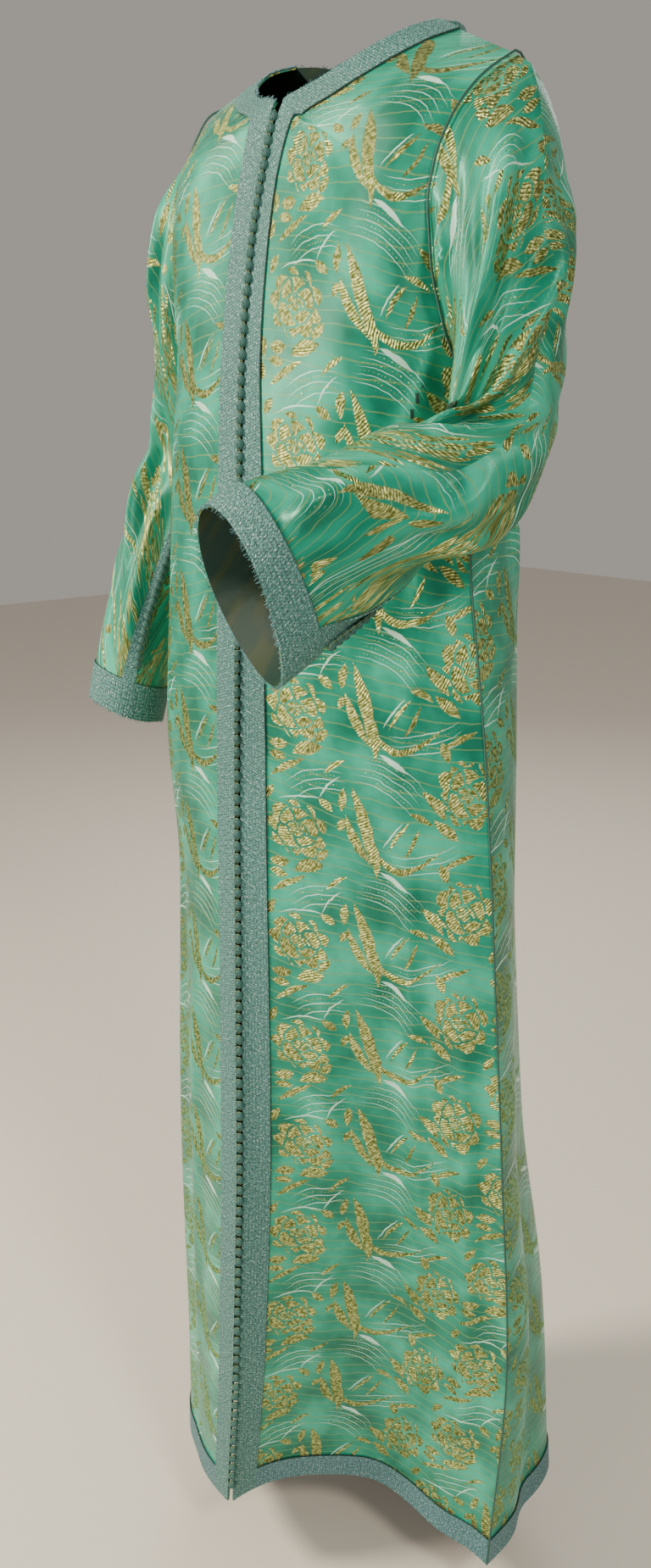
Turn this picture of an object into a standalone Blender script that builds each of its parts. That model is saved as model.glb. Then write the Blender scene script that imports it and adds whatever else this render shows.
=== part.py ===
# Moroccan kaftan in figured satin brocade, hollow and held open as it is worn.
# Metres, +Z up, the front faces -Y and the wearer's left is +X.
# The origin lies between the shoulders, where the wearer carries the garment.

import math

import bpy
import numpy as np

# Thickness of the cloth and trims, and the gaps that part them
WALL = 0.0016
BRAID_THICK = 0.0014
SEAM_GAP = 0.0003
TRIM_LIFT = 0.0003
PIPING_RADIUS = 0.0012

# Trim sizes
FRONT_SLOT = 0.0062
COLLAR_WIDTH = 0.025
RIGHT_BRAID = 0.026
LEFT_BRAID_ROWS = ((0, 0.025), (3.5, 0.022), (5, 0.0165), (7, 0.018), (9, 0.025), (13, 0.026))
HEM_BRAID = 0.032
CUFF_BRAID = 0.033
KNOT_COUNT = 122
KNOT_RADIUS = 0.0026
KNOT_NECK = 0.0014
FIRST_KNOT_STEP = 0.0092
LAST_KNOT_STEP = 0.0124
SLEEVE_KNOTS = 20

# Mesh divisions: a level is a row of the tables below
COLLAR_ROWS = 5
ARMHOLE_ROWS = 5
SKIRT_ROWS = 20
FRONT_COLUMNS = 10
NECK_COLUMNS = 8
SLEEVE_ROWS = 18
NOTCH = 4
UNDERARM = 7
HEM = 13

# Levels: 0 shoulder, 1-3 neckline, 4 neck notch, 5 chest, 6 bust, 7 underarm, 8 waist,
# 9 hip, 10 thigh, 11 knee, 12 calf, 13 hem. One row of each table belongs to a level.

# Front edges: the neckline above the notch, then the centre front
EDGE = {
    "left_x": (0.087, 0.084, 0.068, 0.038, 0.003, 0, 0, 0, 0, 0, 0, -0.002, -0.012, -0.034),
    "right_x": (-0.087, -0.084, -0.068, -0.038, -0.003, 0, 0, 0, 0, 0, 0, -0.002, -0.012, -0.034),
    "y": (-0.004, -0.030, -0.058, -0.080, -0.089, -0.104, -0.117, -0.130, -0.139, -0.149,
          -0.156, -0.163, -0.169, -0.172),
    "z": (0.015, 0.006, -0.010, -0.028, -0.039, -0.085, -0.140, -0.225, -0.345, -0.530,
          -0.700, -0.915, -1.130, -1.352),
}
# Front half of the armholes, then the side seams
SIDE = {
    "left_x": (0.172, 0.165, 0.157, 0.151, 0.148, 0.150, 0.157, 0.164, 0.166, 0.182,
               0.191, 0.196, 0.198, 0.181),
    "left_y": (-0.010, -0.036, -0.055, -0.067, -0.070, -0.069, -0.063, -0.047, -0.043, -0.038,
               -0.032, -0.020, -0.008, -0.010),
    "left_z": (-0.024, -0.042, -0.066, -0.096, -0.124, -0.160, -0.202, -0.255, -0.370, -0.530,
               -0.700, -0.915, -1.130, -1.376),
    "right_x": (-0.172, -0.169, -0.165, -0.161, -0.159, -0.159, -0.161, -0.164, -0.167, -0.181,
                -0.188, -0.192, -0.195, -0.197),
    "right_y": (-0.012, -0.036, -0.052, -0.066, -0.077, -0.081, -0.074, -0.052, -0.046, -0.040,
                -0.036, -0.034, -0.036, -0.042),
    "right_z": (-0.004, -0.016, -0.035, -0.058, -0.087, -0.128, -0.182, -0.250, -0.370, -0.530,
                -0.700, -0.915, -1.130, -1.376),
}
# Back half of the armholes down to the underarm level
BACK_ARMHOLE = {
    "left_x": (0.172, 0.166, 0.160, 0.154, 0.151, 0.151, 0.156, 0.164),
    "left_y": (-0.010, 0.014, 0.036, 0.052, 0.060, 0.058, 0.030, -0.047),
    "left_z": (-0.024, -0.038, -0.058, -0.086, -0.116, -0.160, -0.215, -0.255),
    "right_x": (-0.172, -0.168, -0.163, -0.157, -0.153, -0.152, -0.156, -0.164),
    "right_y": (-0.012, 0.012, 0.034, 0.050, 0.058, 0.056, 0.028, -0.052),
    "right_z": (-0.004, -0.016, -0.038, -0.070, -0.104, -0.150, -0.208, -0.250),
}
# Centre back
SPINE = {
    "y": (0.060, 0.070, 0.078, 0.083, 0.086, 0.090, 0.093, 0.092, 0.086, 0.092,
          0.098, 0.110, 0.132, 0.158),
    "z": (0.014, -0.014, -0.040, -0.068, -0.096, -0.142, -0.190, -0.255, -0.370, -0.530,
          -0.700, -0.915, -1.130, -1.378),
}
# How each panel leaves one edge and meets the other: plan angles in degrees from the
# sideways direction towards the back, and handle lengths as shares of the panel's width
LEFT_FRONT = {
    "edge_turn": (0, -4, -8, -8, -8, -6, -3, 2, 12, 20, 30, 50, 68, 90),
    "edge_pull": (0.33, 0.34, 0.36, 0.38, 0.40, 0.40, 0.40, 0.40, 0.38, 0.36, 0.34, 0.33, 0.35, 0.37),
    "side_turn": (0, 15, 30, 40, 48, 52, 56, 58, 54, 54, 42, 25, 12, 5),
    "side_pull": (0.33, 0.33, 0.33, 0.34, 0.36, 0.38, 0.41, 0.42, 0.35, 0.34, 0.32, 0.30, 0.35, 0.42),
    "arch": (0, 0, 0, 0, 0, 0, 0, 0, 0, 0, 0, 0, 0.004, 0.015),
}
RIGHT_FRONT = {
    "edge_turn": (0, -4, -8, -8, -8, -6, -3, -1, -1, -1, 0, 0, 1, 2),
    "edge_pull": (0.33, 0.34, 0.36, 0.38, 0.40, 0.42, 0.46, 0.52, 0.54, 0.54, 0.43, 0.47, 0.48, 0.50),
    "side_turn": (0, 15, 30, 40, 48, 54, 60, 68, 80, 84, 86, 88, 88, 88),
    "side_pull": (0.33, 0.33, 0.33, 0.34, 0.36, 0.40, 0.45, 0.52, 0.54, 0.54, 0.43, 0.47, 0.48, 0.50),
    "arch": (0, 0, 0, 0, 0, 0, 0, 0, 0, 0, 0, 0, 0, 0),
}
BACK = {
    "side_turn": (35, 45, 55, 60, 64, 68, 72, 76, 82, 78, 75, 75, 84, 86),
    "side_pull": (0.33, 0.33, 0.34, 0.35, 0.36, 0.36, 0.36, 0.40, 0.40, 0.30, 0.27, 0.25, 0.30, 0.34),
    "spine_pull": (0.33, 0.36, 0.40, 0.44, 0.48, 0.52, 0.54, 0.58, 0.62, 0.56, 0.50, 0.50, 0.60, 0.64),
}

# Back neckline from the neck point to the centre back
BACK_NECK = {
    "x": (0.087, 0.083, 0.068, 0.038, 0.0),
    "y": (-0.004, 0.020, 0.041, 0.055, 0.060),
    "z": (0.015, 0.018, 0.017, 0.015, 0.014),
}

# Soft vertical folds of the skirt and back: where each lies across its panel at its top
# and at the hem, the drop where it starts and reaches full depth, depth outwards, width
FOLD_HEADS = ("panel", "top", "hem", "start", "full", "depth", "width")
FOLDS = (
    ("front_left", 0.62, 0.52, 0.45, 1.00, -0.008, 0.13),
    ("front_left", 0.86, 0.80, 0.60, 1.20, 0.006, 0.10),
    ("front_right", 0.45, 0.38, 0.60, 1.25, -0.005, 0.14),
    ("front_right", 0.75, 0.72, 0.55, 1.15, 0.007, 0.12),
    ("back", 0.16, 0.14, 0.55, 1.20, -0.010, 0.050),
    ("back", 0.28, 0.27, 0.40, 1.10, 0.012, 0.055),
    ("back", 0.40, 0.41, 0.40, 1.20, -0.013, 0.055),
    ("back", 0.52, 0.54, 0.45, 1.15, 0.011, 0.060),
    ("back", 0.66, 0.66, 0.40, 1.20, -0.012, 0.055),
    ("back", 0.79, 0.80, 0.50, 1.10, 0.010, 0.055),
)

# Sleeves: one row for each ring after the armhole, by its point on the shoulder line, its
# point on the seam, the way along the arm that it faces, and its half width. The left
# seam winds from the underarm to the lower edge of the raised forearm.
LEFT_SLEEVE = {
    "outer_x": (0.190, 0.207, 0.220, 0.229, 0.234, 0.236, 0.232, 0.222, 0.191, 0.155, 0.116, 0.102),
    "outer_y": (-0.014, -0.022, -0.030, -0.038, -0.045, -0.051, -0.073, -0.124, -0.160, -0.195,
                -0.224, -0.241),
    "outer_z": (-0.034, -0.062, -0.105, -0.155, -0.205, -0.248, -0.282, -0.304, -0.300, -0.302,
                -0.314, -0.329),
    "under_x": (0.171, 0.174, 0.176, 0.177, 0.178, 0.178, 0.172, 0.154, 0.147, 0.149, 0.157, 0.151),
    "under_y": (-0.047, -0.047, -0.048, -0.050, -0.054, -0.060, -0.072, -0.078, -0.100, -0.136,
                -0.188, -0.217),
    "under_z": (-0.262, -0.270, -0.277, -0.284, -0.293, -0.303, -0.318, -0.332, -0.366, -0.405,
                -0.432, -0.451),
    "aim_x": (1.00, 0.90, 0.80, 0.70, 0.55, 0.40, 0.40, -0.30, -0.40, -0.40, -0.25, -0.15),
    "aim_y": (0.00, 0.00, 0.00, -0.05, -0.12, -0.25, -0.60, -0.80, -0.80, -0.82, -0.93, -0.95),
    "aim_z": (-0.15, -0.40, -0.60, -0.75, -0.88, -0.90, -0.68, -0.52, -0.45, -0.42, -0.33, -0.30),
    "wide": (0.052, 0.050, 0.048, 0.049, 0.049, 0.047, 0.052, 0.060, 0.058, 0.052, 0.050, 0.051),
}
RIGHT_SLEEVE = {
    "outer_x": (-0.188, -0.203, -0.211, -0.214, -0.217, -0.226, -0.241, -0.250, -0.254, -0.255,
                -0.255),
    "outer_y": (-0.014, -0.020, -0.022, -0.018, -0.012, -0.014, -0.034, -0.062, -0.087, -0.101,
                -0.109),
    "outer_z": (-0.016, -0.045, -0.090, -0.145, -0.205, -0.262, -0.335, -0.405, -0.470, -0.509,
                -0.540),
    "under_x": (-0.174, -0.179, -0.181, -0.182, -0.182, -0.184, -0.188, -0.193, -0.197, -0.198,
                -0.198),
    "under_y": (-0.052, -0.049, -0.045, -0.041, -0.040, -0.048, -0.070, -0.095, -0.118, -0.131,
                -0.141),
    "under_z": (-0.257, -0.265, -0.274, -0.284, -0.298, -0.320, -0.354, -0.412, -0.472, -0.514,
                -0.547),
    "aim_x": (-1.00, -0.95, -0.80, -0.55, -0.35, -0.20, -0.15, -0.15, -0.15, -0.15, -0.15),
    "aim_y": (0.00, 0.00, 0.00, 0.00, 0.00, -0.05, -0.25, -0.33, -0.34, -0.34, -0.34),
    "aim_z": (-0.15, -0.35, -0.60, -0.85, -0.95, -1.00, -0.95, -0.93, -0.93, -0.93, -0.93),
    "wide": (0.054, 0.055, 0.055, 0.053, 0.051, 0.050, 0.049, 0.047, 0.045, 0.043, 0.042),
}
SLEEVE_TAPER = 0.28

# Folds of the sleeves: where each starts and ends along the sleeve and round it (0 is
# the shoulder line, 0.25 the front, 0.5 the seam), depth outwards and width round it
SLEEVE_FOLD_HEADS = ("sleeve", "from_along", "from_round", "to_along", "to_round", "depth", "width")
SLEEVE_FOLDS = (
    ("left", 0.14, 0.08, 0.30, 0.20, 0.005, 0.045),
    ("left", 0.22, 0.92, 0.38, 1.08, 0.006, 0.045),
    ("left", 0.20, 1.00, 0.36, 1.16, -0.004, 0.040),
    ("left", 0.52, 0.84, 0.74, 0.76, -0.004, 0.055),
    ("left", 0.70, 0.95, 0.92, 0.82, 0.003, 0.050),
    ("left", 0.16, 0.74, 0.40, 0.80, 0.006, 0.050),
    ("right", 0.10, 0.14, 0.40, 0.24, 0.006, 0.045),
    ("right", 0.18, 0.04, 0.55, 0.20, -0.006, 0.045),
    ("right", 0.45, 0.30, 0.80, 0.16, 0.005, 0.045),
    ("right", 0.20, 0.74, 0.55, 0.86, 0.006, 0.050),
    ("right", 0.50, 0.66, 0.85, 0.84, -0.006, 0.050),
)

COLOURS = {
    "brocade": (0.11, 0.48, 0.35),
    "braid": (0.16, 0.32, 0.31),
    "piping": (0.05, 0.13, 0.12),
    "knots": (0.08, 0.20, 0.18),
}


# Curves through table rows

def smooth(values, level):
    """A curve through the values, one to each level, that never overshoots them."""
    values = np.asarray(values, float)
    level = np.clip(np.asarray(level, float), 0, len(values) - 1)
    steps = np.diff(values)
    before, after = steps[:-1], steps[1:]
    both = before * after > 0
    middle = np.where(both, 2 * before * after / np.where(both, before + after, 1), 0)
    slopes = np.concatenate([[steps[0]], middle, [steps[-1]]])
    low = np.minimum(level.astype(int), len(values) - 2)
    t = level - low
    return (
        values[low] * (1 + 2 * t) * (1 - t) ** 2
        + slopes[low] * t * (1 - t) ** 2
        + values[low + 1] * t**2 * (3 - 2 * t)
        - slopes[low + 1] * t**2 * (1 - t)
    )


def from_table(table, columns, level):
    return np.stack([smooth(table[column], level) for column in columns], -1)


def bezier(start, start_handle, end_handle, end, samples=61):
    t = np.linspace(0, 1, samples)[:, None]
    return (
        start * (1 - t) ** 3
        + start_handle * 3 * t * (1 - t) ** 2
        + end_handle * 3 * t**2 * (1 - t)
        + end * t**3
    )


def along(line, distances):
    """Points at these distances along a polyline."""
    steps = np.linalg.norm(np.diff(line, axis=0), axis=1)
    reach = np.concatenate([[0], np.cumsum(steps)])
    return np.stack([np.interp(distances, reach, line[:, k]) for k in range(3)], -1)


def length(line):
    return np.linalg.norm(np.diff(line, axis=0), axis=1).sum()


def bump(x):
    return np.exp(-x * x)


def ramp(x):
    x = np.clip(x, 0, 1)
    return x * x * (3 - 2 * x)


# Levels of the mesh rows

def row_levels():
    """Levels of the rows: even to the underarm, then even in height, with a last row one
    braid above the hem."""
    top = np.linspace(0, NOTCH, COLLAR_ROWS + 1)
    middle = np.linspace(NOTCH, UNDERARM, ARMHOLE_ROWS + 1)[1:]
    fine = np.linspace(UNDERARM, HEM, 400)
    drop = -smooth(SIDE["left_z"], fine)
    marks = np.linspace(drop[0], drop[-1] - HEM_BRAID, SKIRT_ROWS)[1:]
    below = np.interp(marks, drop, fine)
    return np.concatenate([top, middle, below, [HEM]])


LEVELS = row_levels()
ARMHOLE_END = COLLAR_ROWS + ARMHOLE_ROWS
# Columns round the sleeve that carry the forearm's seam knots and braid; on the left they
# lie a column out from the underarm point, on the lower edge of the raised forearm
SEAM_COLUMN = {"left": ARMHOLE_END + 1, "right": ARMHOLE_END}
SEAM_STRIP = {"left": ARMHOLE_END + 1, "right": ARMHOLE_END - 1}


# Panels as grids of points: rows run down from the shoulder

def plan(angle, side):
    return np.array([side * math.cos(math.radians(angle)), math.sin(math.radians(angle)), 0])


def front_row(name, level):
    """The line across a front panel at a level, from its front edge to its side."""
    left = name == "front_left"
    shape = LEFT_FRONT if left else RIGHT_FRONT
    which = "left" if left else "right"
    outward = 1 if left else -1
    edge = from_table(EDGE, (which + "_x", "y", "z"), level)
    side = from_table(SIDE, (which + "_x", which + "_y", which + "_z"), level)
    leave, leave_pull, meet, meet_pull = (
        smooth(shape[column], level) for column in ("edge_turn", "edge_pull", "side_turn", "side_pull")
    )
    wide = np.linalg.norm((side - edge)[:2])
    fall = np.array([0, 0, side[2] - edge[2]])
    arch = np.array([0, 0, smooth(shape["arch"], level)])
    first = edge + leave_pull * wide * plan(leave, outward) + leave_pull * fall + arch
    second = side - meet_pull * wide * plan(meet, outward) - meet_pull * fall + arch
    return bezier(edge, first, second, side)


def braid_width(name, level):
    if level < NOTCH:
        corner = bump((level - NOTCH) / 0.7)
        return COLLAR_WIDTH * (1 + 0.25 * corner)
    if name == "front_right":
        return RIGHT_BRAID
    rows = np.array(LEFT_BRAID_ROWS)
    return float(np.interp(level, rows[:, 0], rows[:, 1]))


def front_grid(name):
    rows = []
    for level in LEVELS:
        line = front_row(name, level)
        start = FRONT_SLOT / 2 if level >= NOTCH else 0
        inner = start + braid_width(name, level)
        rest = np.linspace(inner, length(line), FRONT_COLUMNS)
        rows.append(along(line, np.concatenate([[start], rest])))
    return folded(name, np.array(rows))


def back_half_row(side, level, side_point):
    spine = np.array([0, smooth(SPINE["y"], level), smooth(SPINE["z"], level)])
    turn, side_pull, spine_pull = (smooth(BACK[column], level) for column in BACK)
    wide = np.linalg.norm((spine - side_point)[:2])
    fall = np.array([0, 0, spine[2] - side_point[2]])
    first = side_point + side_pull * wide * plan(turn, -side) + side_pull * fall
    second = spine + np.array([side * spine_pull * wide, 0, 0]) - spine_pull * fall
    return bezier(side_point, first, second, spine)


def back_side_point(side, level):
    which = "left" if side > 0 else "right"
    table = BACK_ARMHOLE if level <= UNDERARM else SIDE
    return from_table(table, (which + "_x", which + "_y", which + "_z"), level)


def back_grid(fronts):
    """The back, from the left side seam to the right one. Its top row follows the two
    shoulder seams and the neckline."""
    per_half = FRONT_COLUMNS + NECK_COLUMNS // 2
    neck_levels = np.linspace(0, len(BACK_NECK["x"]) - 1, NECK_COLUMNS // 2 + 1)
    rows = []
    for level in LEVELS:
        halves = []
        for side, front in ((1, fronts[0]), (-1, fronts[1])):
            neck = from_table(BACK_NECK, ("x", "y", "z"), neck_levels)
            neck[:, 0] *= side
            top = np.concatenate([front[0, ::-1], neck[1:]])
            line = back_half_row(side, level, back_side_point(side, level))
            first = back_half_row(side, 0, back_side_point(side, 0))
            reach = np.concatenate([[0], np.cumsum(np.linalg.norm(np.diff(top, axis=0), axis=1))])
            share = reach / reach[-1]
            even = np.linspace(0, 1, per_half + 1)
            pull = 1 - ramp(level / (UNDERARM + 1))
            spread = even + (share - even) * pull
            shift = (top - along(first, share * length(first))) * (1 - ramp(level / 3.2))[..., None]
            halves.append(along(line, spread * length(line)) + shift)
        rows.append(np.concatenate([halves[0], halves[1][-2::-1]]))
    return folded("back", np.array(rows))


def grid_normals(grid, outward):
    across = np.gradient(grid, axis=1)
    down = np.gradient(grid, axis=0)
    normal = np.cross(down, across) * outward
    return normal / np.linalg.norm(normal, axis=-1, keepdims=True)


def folded(name, grid):
    """The grid with the soft folds of the panel pressed in, fading at the seams."""
    normal = grid_normals(grid, -1 if name == "front_right" else 1)
    share = np.linspace(0, 1, grid.shape[1])[None, :]
    drop = -grid[..., 2]
    edges = ramp(share / 0.12) * ramp((1 - share) / 0.12)
    depth = np.zeros(grid.shape[:2])
    for row in FOLDS:
        fold = dict(zip(FOLD_HEADS, row))
        if fold["panel"] != name:
            continue
        grown = ramp((drop - fold["start"]) / (fold["full"] - fold["start"]))
        run = np.clip((drop - fold["start"]) / (-SIDE["left_z"][-1] - fold["start"]), 0, 1)
        place = fold["top"] + (fold["hem"] - fold["top"]) * run
        depth += fold["depth"] * grown * bump((share - place) / fold["width"])
    return grid + normal * (depth * edges)[..., None]


def unit(vectors):
    return vectors / np.linalg.norm(vectors, axis=-1, keepdims=True)


def sleeve_grid(side, front, back):
    """A sleeve, ring by ring. The first ring is the armhole, front half then back half."""
    armhole = np.concatenate([front[: ARMHOLE_END + 1, -1], back[ARMHOLE_END - 1 : 0 : -1, 0]])
    count = len(armhole)
    table = LEFT_SLEEVE if side > 0 else RIGHT_SLEEVE
    outer_columns = ("outer_x", "outer_y", "outer_z")
    under_columns = ("under_x", "under_y", "under_z")
    fine = np.linspace(0, len(table["wide"]) - 1, 200)
    middle = (from_table(table, outer_columns, fine) + from_table(table, under_columns, fine)) / 2
    reach = np.concatenate([[0], np.cumsum(np.linalg.norm(np.diff(middle, axis=0), axis=1))])
    marks = np.linspace(0, reach[-1] - CUFF_BRAID, SLEEVE_ROWS - 1)
    levels = np.interp(np.append(marks, reach[-1]), reach, fine)
    angle = 2 * math.pi * np.arange(count) / count

    def oval(outer, under, level):
        aim = from_table(table, ("aim_x", "aim_y", "aim_z"), level)
        front = unit(np.cross(aim, outer - under)) * side
        narrow = 1 - SLEEVE_TAPER * ramp((level - 3) / 4) * (1 - np.cos(angle)) / 2
        swing = smooth(table["wide"], level) * np.sin(angle) * narrow
        middle = (outer + under) / 2
        return middle + (outer - middle) * np.cos(angle)[:, None] + front * swing[:, None]

    cap = armhole - oval(armhole[0], armhole[ARMHOLE_END], 0)
    rings = [armhole]
    for level in levels:
        outer = from_table(table, outer_columns, level)
        under = from_table(table, under_columns, level)
        rings.append(oval(outer, under, level) + cap * (1 - ramp((level + 1) / 4.5)))
    grid = np.array(rings)
    return folded_sleeve("left" if side > 0 else "right", grid)


def folded_sleeve(name, grid):
    count = grid.shape[1]
    ends = np.concatenate([grid[:, -1:], grid, grid[:, :1]], 1)
    along_way = np.gradient(grid, axis=0)
    round_way = (ends[:, 2:] - ends[:, :-2]) / 2
    normal = unit(np.cross(round_way, along_way)) * (1 if name == "left" else -1)
    share = np.linspace(0, 1, grid.shape[0])[:, None]
    round_share = (np.arange(count) / count)[None, :]
    depth = np.zeros(grid.shape[:2])
    for row in SLEEVE_FOLDS:
        fold = dict(zip(SLEEVE_FOLD_HEADS, row))
        if fold["sleeve"] != name:
            continue
        run = (share - fold["from_along"]) / (fold["to_along"] - fold["from_along"])
        place = fold["from_round"] + (fold["to_round"] - fold["from_round"]) * np.clip(run, 0, 1)
        away = (round_share - place + 0.5) % 1 - 0.5
        grown = ramp((run + 0.2) / 0.5) * ramp((1.2 - run) / 0.5)
        depth += fold["depth"] * grown * bump(away / fold["width"])
    fade = ramp(share / 0.1) * ramp((1 - share) / 0.1)
    return grid + normal * (depth * fade)[..., None]


# One welded surface for the whole garment, so that neighbours share seam points and the
# direction of their thickness

class Cloth:
    def __init__(self):
        self.points = []
        self.index = {}
        self.quads = []
        self.grids = {}

    def add(self, name, grid, outward, closed=False):
        ids = np.array([[self.point(p) for p in row] for row in grid])
        self.grids[name] = ids
        rows, columns = ids.shape
        cells = []
        for r in range(rows - 1):
            line = []
            for c in range(columns if closed else columns - 1):
                d = (c + 1) % columns
                quad = (ids[r, c], ids[r + 1, c], ids[r + 1, d], ids[r, d])
                line.append(quad if outward > 0 else quad[::-1])
            cells.append(line)
        self.quads += [quad for line in cells for quad in line]
        return cells

    def point(self, place):
        key = tuple(np.round(place, 6))
        if key not in self.index:
            self.index[key] = len(self.points)
            self.points.append(np.array(place, float))
        return self.index[key]

    def finish(self):
        self.points = np.array(self.points)
        body, sleeves = np.zeros_like(self.points), np.zeros_like(self.points)
        facings = []
        for k, quad in enumerate(self.quads):
            a, b, c, d = self.points[list(quad)]
            facings.append(np.cross(c - a, d - b))
            side = body if k < self.body_quads else sleeves
            for corner in quad:
                side[corner] += facings[-1]
        sizes = [np.maximum(np.linalg.norm(side, axis=1), 1e-12) for side in (body, sleeves)]
        self.normals = unit(body / sizes[0][:, None] + sleeves / sizes[1][:, None])
        self.flatness = np.ones(len(self.points))
        for quad, facing in zip(self.quads, facings):
            for corner in quad:
                agree = self.normals[corner].dot(unit(facing))
                self.flatness[corner] = np.clip(agree, 0.42, self.flatness[corner])

    def inset(self, quads, distance):
        """The points of these quads, with those on their border moved inwards."""
        edges = {}
        for quad in quads:
            for a, b in zip(quad, quad[1:] + quad[:1]):
                edges[(a, b)] = quad
        border = [(a, b) for a, b in edges if (b, a) not in edges]
        moves = {}
        for a, b in border:
            quad = self.points[list(edges[(a, b)])]
            facing = np.cross(quad[2] - quad[0], quad[3] - quad[1])
            inward = unit(np.cross(facing, self.points[b] - self.points[a]))
            for corner in (a, b):
                moves.setdefault(corner, []).append(inward)
        placed = {corner: self.points[corner] for quad in quads for corner in quad}
        for corner, ways in moves.items():
            way = unit(np.sum(ways, axis=0))
            spread = max(0.5, float(np.mean([way.dot(other) for other in ways])))
            placed[corner] = placed[corner] + way * distance / spread
        return placed, border

    def shell(self, quads, low, high, distance=SEAM_GAP / 2):
        """Vertices and faces of a closed wall over these quads, between two heights."""
        quads = [tuple(int(corner) for corner in quad) for quad in quads]
        placed, border = self.inset(quads, distance)
        order = {corner: k for k, corner in enumerate(placed)}
        count = len(order)
        away = {corner: self.normals[corner] / self.flatness[corner] for corner in order}
        outer = [placed[corner] + away[corner] * high for corner in order]
        inner = [placed[corner] + away[corner] * low for corner in order]
        faces = []
        for quad in quads:
            a, b, c, d = (order[corner] for corner in quad)
            faces += [(a, b, c), (a, c, d)]
            faces += [(c + count, b + count, a + count), (d + count, c + count, a + count)]
        for start, end in border:
            a, b = order[start], order[end]
            if start > end:
                faces += [(b, a, a + count), (b, a + count, b + count)]
            else:
                faces += [(b, a, b + count), (a, a + count, b + count)]
        return outer + inner, faces


# Cords: piping along seams and the rows of knots

def cord(points, normals, radii, sides):
    """A tube along points. Its first side faces along the normals."""
    points = np.asarray(points)
    heading = unit(np.gradient(points, axis=0))
    up = unit(normals - heading * (normals * heading).sum(1)[:, None])
    cross = np.cross(heading, up)
    vertices, faces = [], []
    for place, u, c, radius in zip(points, up, cross, radii):
        for k in range(sides):
            turn = 2 * math.pi * k / sides
            vertices.append(place + radius * (u * math.cos(turn) + c * math.sin(turn)))
    rings = len(points)
    for r in range(rings - 1):
        for k in range(sides):
            j = (k + 1) % sides
            a, b = r * sides + k, r * sides + j
            faces += [(a, b, b + sides), (a, b + sides, a + sides)]
    first, last = len(vertices), len(vertices) + 1
    vertices += [points[0], points[-1]]
    for k in range(sides):
        j = (k + 1) % sides
        faces += [(first, j, k), (last, (rings - 1) * sides + k, (rings - 1) * sides + j)]
    return vertices, faces


def piping(cloth, ids):
    """A cord along a seam, lifted further where the cloth bends sharply."""
    points, normals = cloth.points[ids], cloth.normals[ids]
    lift = (PIPING_RADIUS + TRIM_LIFT) / cloth.flatness[ids]
    radii = np.full(len(points), PIPING_RADIUS)
    return cord(points + normals * lift[:, None], normals, radii, 5)


def knotted_cord(line, normals, count, first_step, last_step, lift):
    """A cord of round knots along a line, the knots a little further apart towards its end."""
    steps = np.linspace(first_step, last_step, count)
    centres = np.cumsum(steps) - steps[0]
    marks, radii = [], []
    for place, step in zip(centres, steps):
        marks += [place - 0.25 * step, place + 0.25 * step, place + 0.5 * step]
        radii += [KNOT_RADIUS, KNOT_RADIUS, KNOT_NECK]
    marks, radii = np.array(marks[:-1]), radii[:-1]
    marks = marks - marks[0]
    marks *= min(1.0, 0.995 * length(line) / marks[-1])
    reach = np.concatenate([[0], np.cumsum(np.linalg.norm(np.diff(line, axis=0), axis=1))])
    facing = np.stack([np.interp(marks, reach, normals[:, k]) for k in range(3)], -1)
    facing = unit(facing)
    return cord(along(line, marks) + facing * lift, facing, radii, 5)


# Objects

materials = {}


def material(kind):
    if kind not in materials:
        made = bpy.data.materials.new(kind)
        made.use_nodes = True
        shader = made.node_tree.nodes["Principled BSDF"]
        shader.inputs["Base Color"].default_value = (*COLOURS[kind], 1)
        shader.inputs["Roughness"].default_value = 0.45 if kind == "brocade" else 0.75
        shader.inputs["Metallic"].default_value = 0.0
        materials[kind] = made
    return materials[kind]


def add_object(name, kind, solid):
    vertices, faces = solid
    mesh = bpy.data.meshes.new(name)
    mesh.from_pydata([tuple(map(float, v)) for v in vertices], [], faces)
    mesh.materials.append(material(kind))
    mesh.shade_smooth()
    mesh.set_sharp_from_angle(angle=math.radians(50))
    made = bpy.data.objects.new(name, mesh)
    bpy.context.scene.collection.objects.link(made)
    return made


def flat(cells):
    return [quad for line in cells for quad in line]


def build_cloth():
    cloth = Cloth()
    fronts = [front_grid("front_left"), front_grid("front_right")]
    back = back_grid(fronts)
    cells = {
        "front_left": cloth.add("front_left", fronts[0], 1),
        "front_right": cloth.add("front_right", fronts[1], -1),
        "back": cloth.add("back", back, 1),
    }
    cloth.body_quads = len(cloth.quads)
    sleeves = (
        ("sleeve_left", sleeve_grid(1, fronts[0], back), -1),
        ("sleeve_right", sleeve_grid(-1, fronts[1], back[:, ::-1]), 1),
    )
    for name, grid, outward in sleeves:
        cells[name] = cloth.add(name, grid, outward, closed=True)
    cloth.finish()
    return cloth, cells


def add_panels(cloth, cells):
    for name, lines in cells.items():
        add_object(name, "brocade", cloth.shell(flat(lines), -WALL, 0))


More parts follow.
